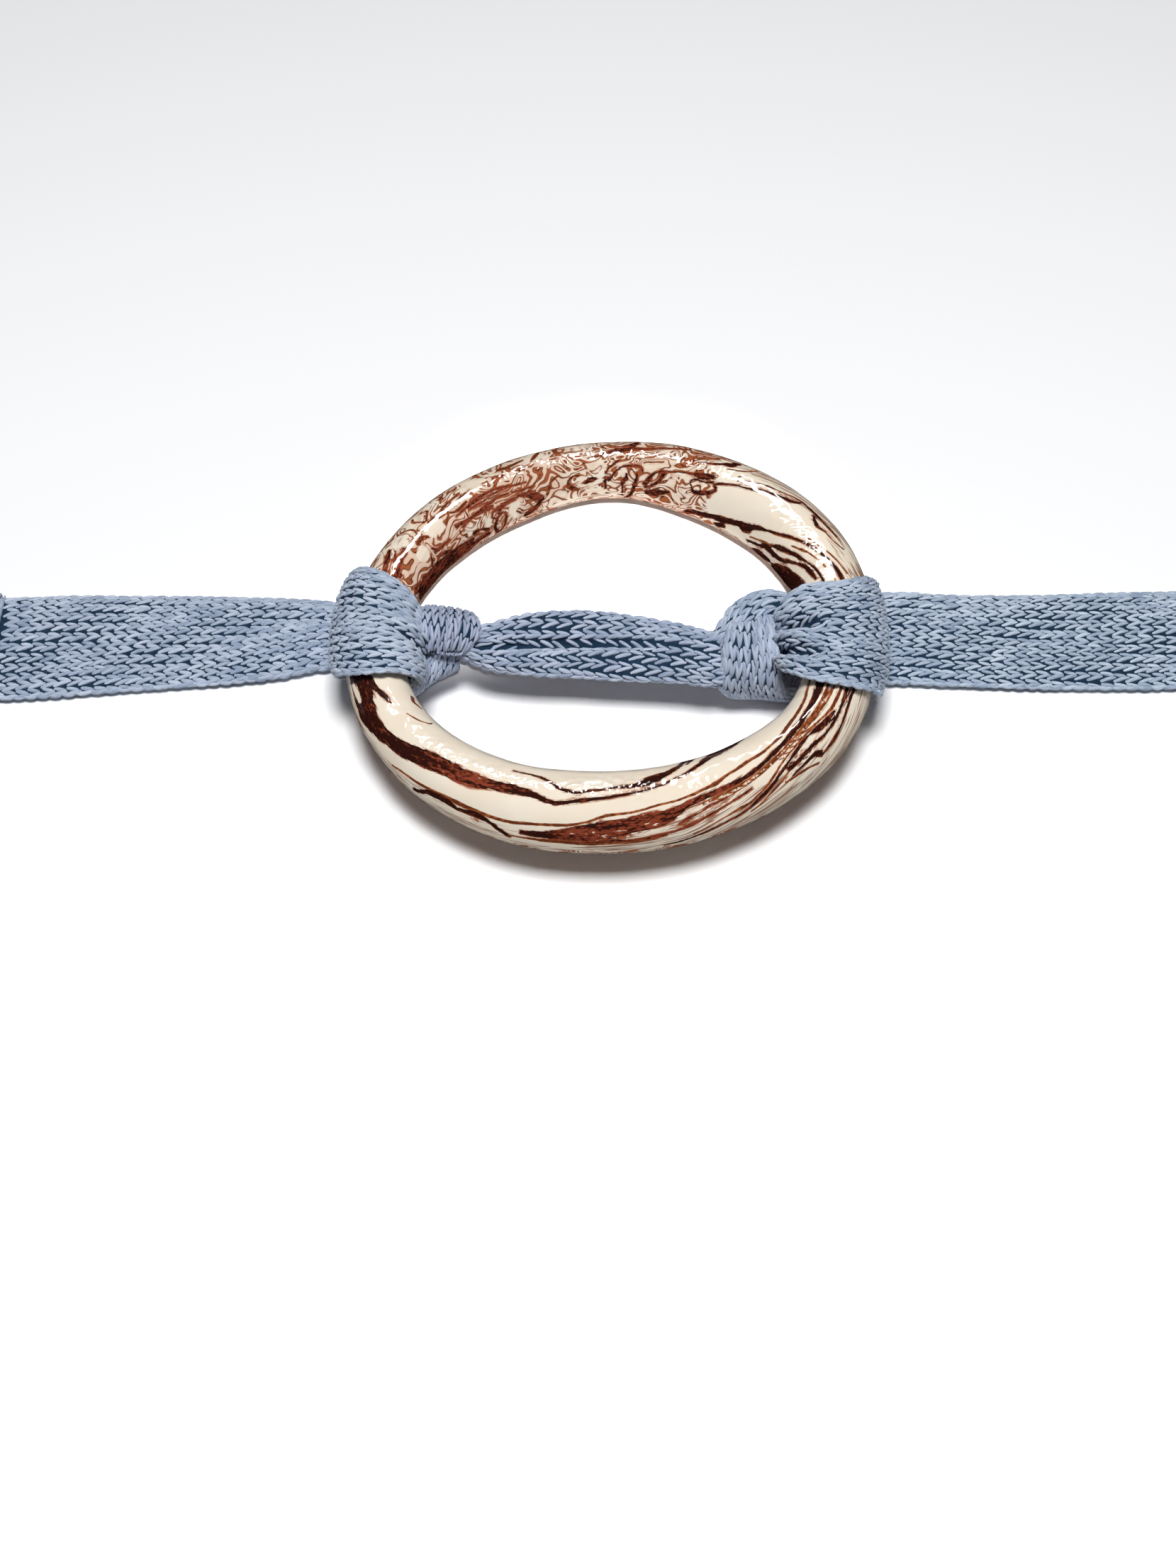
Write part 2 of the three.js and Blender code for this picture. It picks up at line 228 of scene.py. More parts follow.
def besideRing(turn, around, height):
    # turn about Z, and around the tube from the side that faces the hole, over the top, in radians
    reach, tube = np.moveaxis(throughRows(ring["sections"], turn / wholeTurn, closed=True), -1, 0)
    radius = reach - (tube + height) * np.cos(around)
    level = view["ringHeight"] + (tube + height) * np.sin(around)
    return np.stack([radius * np.cos(turn), radius * np.sin(turn), level], -1)


# The marbling's streaks: turn and angle around the tube in degrees, and width in millimetres. Two wide ones
# on the far-left limb are partly painted shade.

darkStreaks = [
    [(190, 128, 4.6), (194, 130, 4.6), (200, 133, 4.4), (206, 140, 4.4), (210, 143, 3.2), (216, 135.5, 2.6),
     (221, 129, 2.7), (226, 119, 3.0), (232, 113.5, 2.9), (238, 113, 2.5), (244, 108.5, 1.8),
     (249, 106.5, 1.6), (253, 110, 1.1), (257, 117, 0.8), (260, 115, 0.7), (265, 109, 0.7), (272, 104, 0.5),
     (279, 97.5, 0.4), (285, 88, 0.4), (290, 78, 0.6), (294, 66, 1.2), (298, 54, 2.2), (303, 44, 2.6),
     (308, 34, 2.0)],
    [(196, 116, 1.3), (198, 112, 1.2), (203, 104, 1.1), (207, 96, 0.9), (209, 93, 0.3)],
    [(246, 75, 0.3), (250, 75, 0.4), (253, 78, 0.5), (256, 87, 0.5), (258, 95, 0.6), (260, 98.5, 0.7),
     (262, 100, 0.6), (265, 96, 0.5), (268, 94, 0.4), (271, 91, 0.6), (275, 90, 0.8), (278, 86, 1.6),
     (281, 80, 1.9), (284, 73, 1.2), (287, 64, 1.0), (289, 54, 1.1), (291, 44, 1.5), (293, 34, 1.6)],
    [(290, 60, 0.3), (292, 50, 0.6), (293, 42, 0.8)],
    [(227, 178, 0.8), (229, 170, 0.9), (231, 163, 1.2), (235, 160, 1.2), (238, 164, 0.8), (242, 160, 1.2),
     (245, 165, 0.8), (247, 173, 0.9), (249, 180, 0.8)],
    [(252, 167, 0.8), (256, 165, 1.6), (260, 162, 2.3), (264, 157, 3.2), (268, 152, 3.4), (272, 149, 3.3),
     (276, 145, 3.0), (280, 142, 2.8), (283, 137, 2.2), (286, 130, 1.3), (290, 124.5, 1.1),
     (294, 121.5, 0.9), (299, 118, 0.8), (303, 114.5, 0.8), (307, 109, 0.7), (311, 102, 0.8),
     (315, 96.5, 0.9), (320, 89, 1.1), (325, 82.5, 1.0), (330, 77, 1.2), (334, 72, 1.6), (339, 64, 1.6),
     (345, 58, 1.6)],
    [(264, 173, 0.4), (267, 171, 0.6), (271, 170, 0.8), (275, 171, 0.4), (279, 168, 0.7), (283, 164, 0.4),
     (286, 159, 0.7), (289, 154, 0.4), (292, 149, 0.6), (295, 144, 0.4), (298, 140, 0.5), (301, 136, 0.3)],
    [(284, 153, 0.3), (286, 148, 0.6), (289, 143, 0.3), (291, 138, 0.5), (295, 135, 0.3)],
    [(281, 192, 0.5), (285, 187, 0.5), (289, 180, 0.5), (293, 173, 0.5), (297, 168, 0.6), (300, 162, 0.6),
     (302, 155, 0.8), (305, 147, 0.6), (308, 137, 0.6), (311, 128, 0.5), (314, 121, 0.6), (317, 115, 0.6),
     (320, 112, 0.4), (323, 114, 1.1), (326, 115, 0.9), (329, 115.5, 0.4)],
    [(311, 136.5, 0.7), (314, 133.5, 0.7), (317, 129.5, 0.7), (320, 127.5, 0.7), (323, 128, 0.5),
     (327, 124.5, 0.6), (331, 120, 0.6), (335, 116, 0.6), (341, 111, 0.6)],
    [(311, 148, 0.4), (315, 143, 0.6), (318, 141, 0.9), (319.5, 147, 1.4), (320, 149.5, 0.5),
     (324, 145, 0.6), (328, 138, 0.5), (332, 130, 0.5), (336, 126, 0.8), (342, 124, 0.8)],
    [(66, -18, 1.22), (64, -10, 1.35), (60, -4, 1.35), (56, 1, 1.35), (52, 6, 1.22), (49, 11, 1.22),
     (46, 15, 1.49), (44, 20, 1.08), (41, 27, 0.94), (38, 33, 0.6), (35, 39, 0.5), (32, 47, 0.5),
     (29, 55, 0.5), (26, 63, 0.45), (22, 73, 0.6), (18, 82, 0.6), (14, 90, 0.8), (9, 97, 0.8)],
    [(42, 22, 0.68), (43.5, 15, 1.35), (45.5, 9, 0.94), (47, 14, 0.81)],
    [(33, 22, 0.54), (31, 27, 1.08), (28, 34, 0.8), (25, 41, 0.8), (22, 47, 0.8), (20, 52, 0.4),
     (16, 60, 0.5), (11, 66, 0.6)],
    [(13, 55, 0.5), (17, 50, 0.9), (20, 43, 0.7), (22, 36, 0.5), (25, 25, 0.81), (27, 18, 0.81),
     (31, 13, 1.35), (34, 12, 1.49), (36, 10, 1.08), (38, 3, 0.81), (41, -3, 0.81), (43, -8, 0.68)],
    [(10, 26, 2.2), (14, 20, 3.24), (18, 12, 3.78), (22, 4, 4.05), (26, -6, 3.78), (30, -18, 3.24)],
    [(33, -8, 1.08), (37, -16, 2.43), (40, -22, 1.89)],
    [(53, -8, 1.35), (55, -16, 1.62)],
    [(37, 104, 0.5), (38, 97, 0.8), (41, 91, 0.6), (44, 85, 0.6), (47, 78, 0.7), (50, 72, 0.5),
     (54, 66, 0.4), (57, 60, 0.5), (59, 54, 0.4), (58, 48, 0.6), (59, 41, 0.6), (61, 35, 0.9),
     (64, 31.5, 0.8), (65, 36, 0.4), (66, 45, 0.4), (65, 51, 0.4), (62, 52, 0.4), (60, 56, 0.5)],
    [(26, 103, 0.4), (28, 98, 0.8), (30, 101, 0.8), (31.5, 105, 0.5)],
    [(24, 118, 0.4), (28, 114, 0.6), (33, 112, 0.7), (37, 111, 0.5), (39, 107, 0.4), (42, 100, 0.3),
     (46, 94, 0.4), (49, 87, 0.4), (52, 79, 0.4)],
    [(57, 112, 1.4), (58, 103, 1.5), (60, 97, 0.8), (62, 90, 0.6), (65, 84, 0.4)],
    [(60, 66, 0.8), (62, 62, 1.4), (64, 60, 1.2), (66, 59, 0.5), (69, 57, 0.35), (72, 53, 0.35),
     (75, 50, 0.4), (77, 44, 0.5), (78, 36, 0.7), (78.5, 30, 1.0), (79.5, 22, 0.6)],
    [(74, 48, 0.7), (74.5, 42, 0.9), (75, 35, 0.7), (76, 27, 0.6), (77.5, 20, 0.5), (79, 15, 0.5)],
    [(72, 16, 0.5), (74, 11, 1.0), (76.5, 6, 1.7), (78.5, 3, 1.2)],
    [(80.5, 45, 0.4), (81, 52, 0.5), (83, 54, 0.5), (86, 51, 0.4), (88, 42, 0.4), (89, 33, 0.5),
     (90, 26, 0.9)],
    [(82, 38, 0.5), (82, 28, 0.6), (82.5, 15, 0.9), (83, 0, 0.7), (84, -15, 0.8), (84.5, -22, 0.8)],
    [(85, 35, 0.5), (85, 27, 0.9), (86, 20, 0.7), (86, 8, 0.4), (86, -4, 0.4)],
    [(87, 65, 0.3), (89, 55, 0.4), (90.5, 45, 0.4), (91, 33, 0.5), (91, 20, 0.5), (91, 8, 0.6)],
    [(70, 112, 0.5), (74, 104, 0.5), (77, 98, 0.5), (80, 94, 0.5), (83, 92, 0.8), (87, 88, 1.2),
     (90, 82, 1.0), (92, 76, 0.9)],
    [(83, 118, 0.9), (84, 105, 1.6), (86, 97, 1.2), (88, 90, 0.8)],
    [(95, 24, 2.2), (96, 23, 2.4), (97.5, 24, 1.8)],
    [(92, 20, 0.5), (94, 11, 0.7), (99, 12, 0.7), (102, 22, 0.9), (102, 34, 0.4), (100, 41, 0.4),
     (97.5, 36, 0.3)],
    [(111, 15, 1.15), (113, 25, 1.73), (115, 32, 1.58), (118, 38, 0.58)],
    [(115, 57, 0.36), (118, 59, 0.43), (122, 61, 0.36), (126, 60, 0.29), (130, 57, 0.36), (134, 57, 0.29)],
    [(120, 63, 0.29), (124, 67, 0.58), (128, 68, 0.65), (131, 66, 0.86), (134, 64, 0.65), (139, 61, 0.36)],
    [(113, 44, 0.36), (118, 47, 0.36), (122, 51, 0.43), (125, 52, 0.5), (128, 49, 0.72), (131, 46, 0.72),
     (135, 45, 0.36), (139, 46, 0.65), (141, 47, 0.72)],
    [(128, 40, 0.5), (132, 41, 0.36), (136, 42, 0.36), (139, 39, 0.58)],
    [(117, 36, 0.36), (121, 38, 0.36), (125, 36, 0.43), (128, 31, 0.43), (129, 23, 0.43),
     (127.5, 18, 0.36)],
    [(120, 34, 0.29), (123, 34, 0.36), (125.5, 30, 0.72), (126.5, 25, 0.65), (125, 22, 0.36)],
    [(124, 20, 0.4), (124, 10, 0.6), (124.5, 0, 0.6), (125, -10, 0.5), (126, -20, 0.6)],
    [(126.5, 20, 0.5), (128, 10, 0.7), (128.5, 0, 0.9), (128, -10, 0.9), (127, -22, 0.9)],
    [(131.5, 5, 0.9), (132.5, 10, 0.7), (134.5, 15, 0.5), (137, 17, 0.7), (136, 11, 0.4)],
    [(131, -8, 1.0), (135, -6, 1.6), (139, -12, 2.2), (144, -18, 2.6), (148, -26, 2.6)],
    # these two darken the far-left limb's side that faces the hole: partly marbling, partly painted shade
    [(138, 4, 1.2), (143, 2, 2.4), (149, 4, 3.0), (155, 8, 3.0), (161, 14, 2.4), (166, 22, 1.6)],
    [(146, -12, 3.0), (152, -10, 3.6), (158, -4, 3.6), (164, 4, 2.6)],
    [(154, 40, 0.4), (155, 30, 0.7), (156, 22, 0.5), (157, 12, 0.5)],
    [(152, 28, 0.8), (150, 24, 0.7), (147, 18, 0.8)],
    [(112, 8, 1.0), (114, 0, 1.2), (117, -8, 1.2)],
    [(146, 36, 0.5), (149, 36, 0.7), (151, 38, 0.9), (152, 46, 0.6)],
    [(159, 112, 0.8), (162, 104, 1.2), (165, 98, 0.9), (168, 90, 0.9)],
    [(156, 90, 0.5), (159, 84, 0.9), (163, 78, 0.9), (167, 74, 1.0)],
    [(160, 96, 0.5), (162, 88, 0.8), (164, 76, 0.9), (166, 66, 1.2)],
]
rustStreaks = [
    [(250, 178, 0.4), (254, 176, 0.6), (258, 175, 0.9), (262, 174, 1.1), (266, 174, 1.2), (270, 173, 0.9),
     (276, 171, 1.1), (281, 167, 0.9)],
    [(214, 81, 0.35), (217, 73, 0.35), (219, 62, 0.35), (219, 55, 0.3)],
    [(208, 44, 0.9), (210, 50, 0.8), (212, 42, 0.6)],
    [(220, 168, 0.3), (223, 163, 0.5), (227, 160, 0.5), (232, 156.5, 0.7), (236, 155, 0.9),
     (240, 154.5, 0.8), (248, 155, 0.6), (252, 152, 0.5), (256, 149, 0.5), (261, 146, 0.5), (265, 140, 0.4),
     (269, 131.5, 0.5), (275, 128, 0.4), (280, 122.5, 0.4), (284, 120.5, 0.35), (288, 117, 0.5),
     (291, 113, 0.5), (294, 110, 0.8), (297, 104, 0.5), (301, 99.5, 0.6), (304, 96, 0.6), (308, 94, 0.5),
     (311, 90, 0.5), (315, 85, 0.6), (319, 77, 0.6), (324, 70, 0.6), (329, 62, 0.6), (333, 53, 0.6),
     (340, 43, 0.5)],
    [(287, 176, 0.3), (290, 170, 0.3), (294, 162, 0.35), (297, 158, 0.6), (300, 155, 0.4), (303, 146, 0.4),
     (306, 137, 0.5), (309, 126, 0.4), (312, 118, 0.3), (316, 112, 0.3), (319, 108.5, 0.35),
     (323, 106.5, 0.35), (326, 107.5, 0.4), (330, 108.5, 0.6), (336, 105, 0.5)],
    [(290, 134, 0.25), (296, 128, 0.25), (302, 121, 0.25), (308, 112, 0.25), (314, 104, 0.25),
     (320, 98, 0.25), (326, 94, 0.3), (334, 88, 0.3)],
    [(292, 138, 0.25), (298, 131, 0.25), (304, 123, 0.25), (310, 114, 0.25), (316, 106, 0.25),
     (322, 100, 0.3), (334, 93, 0.3)],
    [(318, 97, 0.3), (324, 97, 0.3), (330, 97, 0.3), (336, 94, 0.3)],
    [(300, 170, 0.3), (302, 165, 0.4), (305, 155, 0.4), (308, 147, 0.35), (310, 141, 0.4),
     (311, 136.5, 0.5)],
    [(309, 152, 0.4), (313, 151.5, 0.5), (316, 154, 0.4), (318, 158, 0.5)],
    [(286, 134, 0.3), (291, 130, 0.3), (297, 125, 0.4), (303, 119, 0.3), (308, 113, 0.4), (314, 104, 0.3),
     (321, 95, 0.4), (330, 88, 0.4), (338, 82, 0.5)],
    [(23, 58, 0.5), (25, 52, 0.4), (27, 47, 0.4)],
    [(27, 58, 0.4), (30, 50, 0.4), (33, 42, 0.4), (36, 37, 0.5)],
    [(34, 20, 0.3), (37, 15, 0.5), (40, 9, 0.4), (42, 5, 0.4)],
    [(12, 106, 0.4), (17, 95, 0.4), (22, 82, 0.35), (27, 71, 0.35)],
    [(10, 84, 0.4), (15, 76, 0.4), (20, 66, 0.35), (24, 57, 0.3)],
    [(26, 103, 0.3), (23, 106, 0.4), (21, 112, 0.4), (20, 118, 0.4)],
    [(52, 120, 0.5), (53, 105, 0.5), (55, 96, 0.4), (58, 90, 0.35)],
    [(53.5, 77, 0.4), (54, 84, 0.4), (52.5, 90, 0.3)],
    [(62, 108, 0.6), (64, 98, 0.4), (66, 92, 0.4)],
    [(67.5, 88, 0.35), (67.3, 78, 0.35), (68, 70, 0.35), (69.5, 68, 0.35), (70.5, 76, 0.35),
     (70, 86, 0.35)],
    [(108, 120, 0.8), (109, 110, 1.0), (110, 102, 0.7), (111, 95, 0.4)],
    [(103, 120, 0.5), (104, 108, 0.8), (103, 98, 0.5)],
    [(113, 106, 0.5), (117, 101, 0.8), (120, 104, 0.9)],
    [(137, 117, 0.5), (138, 110, 0.7), (139, 102, 0.3)],
    [(144, 118, 0.4), (143, 108, 0.5), (145, 98, 0.5), (146, 93, 0.3)],
    [(147, 120, 0.5), (148, 112, 0.8), (147.5, 104, 0.4), (147, 95, 0.5)],
    [(153, 120, 0.5), (151, 108, 0.5), (150.5, 96, 0.5), (151, 90, 0.4)],
    [(125, 88, 0.5), (128, 90, 0.4), (131, 89, 0.4), (134, 86, 0.4)],
    [(133, 96, 0.4), (138, 92, 0.5), (142, 87, 0.6), (146, 85, 0.7)],
    [(140, 79, 0.4), (141, 70, 0.5), (143, 64, 0.6), (147, 62, 0.5), (150, 66, 0.5), (151, 73, 0.7),
     (154, 73, 0.9)],
    [(134, 72, 0.6), (137, 68, 0.7), (139, 70, 0.5), (140, 76, 0.4)],
    [(90, 108, 0.5), (92, 100, 0.5), (91, 94, 0.4)],
    [(88, 86, 0.6), (91, 80, 0.9), (93, 75, 0.6)],
    [(105, 48, 0.4), (107, 42, 0.5), (108, 32, 0.6), (109, 22, 0.6)],
    [(141, 36, 0.3), (141, 27, 0.4), (139, 22, 0.4)],
    [(142, 8, 0.4), (144, 4, 0.7), (147, 6, 0.5), (147, 12, 0.5), (144, 14, 0.4), (142, 10, 0.4)],
]
creamSpots = [
    [(198, 147, 1.0), (201, 145, 1.3), (203, 143, 0.9)],
    [(235, 172, 1.4), (238, 173, 1.2)],
    [(145, 68, 2.2), (148, 69, 2.4)],
    [(132, 29, 1.2), (138, 28, 1.6)],
    [(92, 36, 1.0), (93, 22, 1.2), (96, 15, 1.0), (99, 18, 1.0), (98, 33, 1.6)],
    [(120, 26, 1.2), (122, 16, 1.4), (122, 4, 1.2), (122, -12, 1.4)],
    [(130, 18, 1.0), (130, 2, 0.8)],
    [(155, 56, 2.2), (156, 52, 2.2)],
    [(155, 108, 2.0), (156, 98, 2.0)],
    [(126, 97, 1.2), (129, 98, 2.4), (132, 96, 1.2)],
]
# Wilder and calmer parts: turn and around from and to, then swirls, grain and reddening of the dark clay; the
# last one is partly painted shade
patches = [
    (60, 170, -60, 78, 0.9, 0.0, 0.5),
    (104, 170, 20, 95, 0.1, 0.0, 0.5),
    (60, 170, 78, 150, 0.45, 0.3, 0.7),
    (88, 110, -60, -8, -0.9, 0.5, 0.0),
    (112, 122, -60, 15, 0.3, 0.6, 0.0),
    (128, 170, -90, 16, 0.3, 1.0, 0.0),
    (40, 175, 150, 260, 0.7, 0.4, 0.5),
    (228, 268, 164, 215, 0.2, 1.0, 0.0),
    (262, 342, 142, 215, 0.1, 1.0, 0.0),
    (186, 230, 165, 215, 0.1, 0.7, 0.2),
    (258, 300, 120, 178, 0.0, 0.0, 0.9),
    (266, 284, 152, 176, 0.2, 1.1, 0.0),
    (281, 292, 138, 164, 0.2, 1.1, 0.0),
    (289, 301, 127, 150, 0.2, 1.1, 0.0),
    (228, 245, 90, 130, 0.0, 0.0, 0.7),
    (-20, 60, 100, 260, 0.0, 0.7, 0.2),
    # dense dark marbling all round the underside: partly the clay's own, partly painted shade under the ring,
    # which also darkens the table's shadow there
    (0, 360, 200, 340, 0.5, 1.0, 0.2),
]
# Where the glaze ran unevenly: turn, angle around the tube, reach of each in degrees, and strength
runs = [(268, 92, 14, 16, 1.0), (291, 116, 6, 14, 1.0), (235, 92, 20, 14, 0.5), (116, 84, 12, 14, 1.0),
        (100, 68, 9, 16, 0.8), (64, 72, 6, 12, 1.0), (78, 78, 8, 14, 0.5), (24, 62, 14, 16, 0.5)]


def streakDistances(streaks, points, turns):
    # for each point: signed distance across the nearest streak, plain distance to it, and half its width
    found = np.zeros((len(points), 3))
    found[:, :2] = ring["reading"]
    best = np.full(len(points), ring["reading"])
    for rows in streaks:
        rows = np.array(rows, float)
        length = np.hypot(*(np.diff(rows[:, :2], axis=0) * ring["perDegree"]).T).sum()
        shares = np.linspace(0, 1, int(length / ring["streakStep"]) + 2)
        turn, around, width = throughRows(rows, shares).T
        turn, around = np.radians(turn), np.radians(around)
        line = besideRing(turn, around, 0)
        ahead = np.gradient(line, axis=0)
        out = besideRing(turn, around, 1) - line
        across = unit(np.cross(out, ahead))
        middle = np.degrees(turn.mean())
        span = np.degrees(np.ptp(turn)) / 2 + ring["streakMargin"]
        near = np.flatnonzero(np.abs(swing(turns, middle)) < span)
        some = points[near]
        squares = (some**2).sum(1)[:, None] + (line**2).sum(1) - 2 * some @ line.T
        nearest = squares.argmin(1)
        offset = some - line[nearest]
        apart = np.linalg.norm(offset, axis=1)
        signed = (offset * across[nearest]).sum(1)
        half = np.maximum(width[nearest], ring["narrowest"]) / 2
        slack = np.where(half < ring["thinnest"], ring["slack"], 0.0)
        plain = np.clip(apart - slack, 0, ring["reading"])
        field = np.maximum(np.abs(signed), plain) - half
        better = field < best[near]
        chosen = near[better]
        best[chosen] = field[better]
        limit = ring["reading"]
        found[chosen] = np.stack([np.clip(signed, -limit, limit), plain, half], 1)[better]
    return found, best


def patchStrengths(turns, arounds):
    strengths = np.zeros((len(turns), 3))
    for fromTurn, toTurn, fromAround, toAround, *amounts in patches:
        inside = np.ones(len(turns))
        spans = ((turns, fromTurn, toTurn), (arounds, fromAround, toAround))
        for (angles, low, high), edge in zip(spans, ring["patchEdges"]):
            if high - low < 360:
                fromMiddle = np.abs(swing(angles, (low + high) / 2))
                inside = inside * np.clip(((high - low) / 2 - fromMiddle) / edge + 0.5, 0, 1)
        strengths += inside[:, None] * np.array(amounts)
    return np.clip(strengths, 0, 1)


def keepVectors(mesh, name, values):
    mesh.attributes.new(name, "FLOAT_VECTOR", "POINT").data.foreach_set("vector", values.ravel())


def keepNumbers(mesh, name, values):
    mesh.attributes.new(name, "FLOAT", "POINT").data.foreach_set("value", values)


def makeRing():
    bpy.ops.object.select_all(action="DESELECT")
    reach, tube = np.mean(ring["sections"], 0)
    bpy.ops.mesh.primitive_torus_add(
        major_segments=ring["loops"], minor_segments=ring["sides"],
        major_radius=reach * millimetre, minor_radius=tube * millimetre,
        location=(0, 0, view["ringHeight"] * millimetre))
    piece = bpy.context.object
    piece.name = "clay_ring"
    bpy.ops.object.transform_apply(location=True)
    smoothing = piece.modifiers.new("smoothing", "SUBSURF")
    smoothing.levels = smoothing.render_levels = ring["smoothing"]
    bpy.ops.object.modifier_apply(modifier=smoothing.name)
    bpy.ops.object.shade_smooth()
    mesh = piece.data

    places = np.zeros(len(mesh.vertices) * 3)
    mesh.vertices.foreach_get("co", places)
    x, y, z = places.reshape(-1, 3).T / millimetre
    turn = np.arctan2(y, x)
    around = np.arctan2(z - view["ringHeight"], reach - np.hypot(x, y))
    glaze = besideRing(turn, around, 0)
    dents = np.zeros(len(turn))
    for size, height in ring["dents"]:
        dents += height * np.array([noise.noise(Vector(point / size)) for point in glaze])
    shaped = besideRing(turn, around, dents)
    mesh.vertices.foreach_set("co", (shaped * millimetre).ravel())
    mesh.update()

    turns, arounds = np.degrees(turn), np.degrees(around)
    sections = throughRows(ring["sections"], turn / wholeTurn, closed=True)
    along = (turn % wholeTurn) * reach
    starts, rates = np.array(ring["twists"]).T
    twisted = np.concatenate([[0], np.cumsum(np.diff(starts) * rates[:-1])])
    flow = around + np.radians(np.interp(turns % 360, starts, twisted * 360 / twisted[-1]))
    keepVectors(mesh, "clay", np.stack(
        [along, sections[:, 1] * np.cos(flow), sections[:, 1] * np.sin(flow)], 1))
    dark, darkField = streakDistances(darkStreaks, glaze, turns)
    rust, rustField = streakDistances(rustStreaks, glaze, turns)
    creamField = streakDistances(creamSpots, glaze, turns)[1]
    # a cream spot clears the streaks that it lies on
    for marks, field in ((dark, darkField), (rust, rustField)):
        cleared = -creamField > field
        limit = ring["reading"]
        depth = limit - creamField[cleared]
        marks[cleared] = np.stack([depth, depth, np.full(len(depth), limit)], 1)
    keepVectors(mesh, "darkStreak", dark)
    keepVectors(mesh, "rustStreak", rust)
    strengths = patchStrengths(turns, arounds)
    strengths[:, 0] *= np.clip(creamField / ring["spotFade"], ring["calmest"], 1)
    keepVectors(mesh, "patch", strengths)
    uneven = np.zeros(len(turns))
    for middle, level, wide, high, amount in runs:
        apart = np.hypot(swing(turns, middle) / wide, swing(arounds, level) / high)
        uneven = np.maximum(uneven, amount * np.clip(ring["runEdge"] - apart, 0, 1))
    keepNumbers(mesh, "uneven", uneven)
    mesh.materials.clear()
    mesh.materials.append(clayFinish())
    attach(piece, "root")
    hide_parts("ring")
    return piece


clay = {
    "cream": paint(232, 224, 209),
    "shadedCream": paint(225, 208, 186),
    "dark": paint(46, 20, 15),
    "red": paint(132, 62, 42),
    "rust": paint(158, 88, 48),
    "brown": paint(98, 48, 28),
    "grain": paint(124, 72, 48),
    "smear": paint(204, 158, 134),
    "swirl": paint(62, 28, 18),
    "paleSwirl": paint(156, 86, 54),
    # patterns for each millimetre: along the twist, then across it
    "feather": (0.25, 1.5, 1.5),
    "fine": (1.2, 3.0, 3.0),
    "swirls": (0.16, 0.32, 0.32),
    "grains": (0.03, 1.0, 1.0),
    "warp": (9.0, 5.0, 5.0),  # millimetres that the swirls are pushed about
    "swirlLines": 9.0,
    "grainLines": 6.0,
    "fray": {"darkStreak": 1.2, "rustStreak": 0.5},  # how far a streak's edges wander, in half widths
    "roughness": 0.06,
    "mirror": 0.16,
    "ripple": 0.0004,  # metres
}


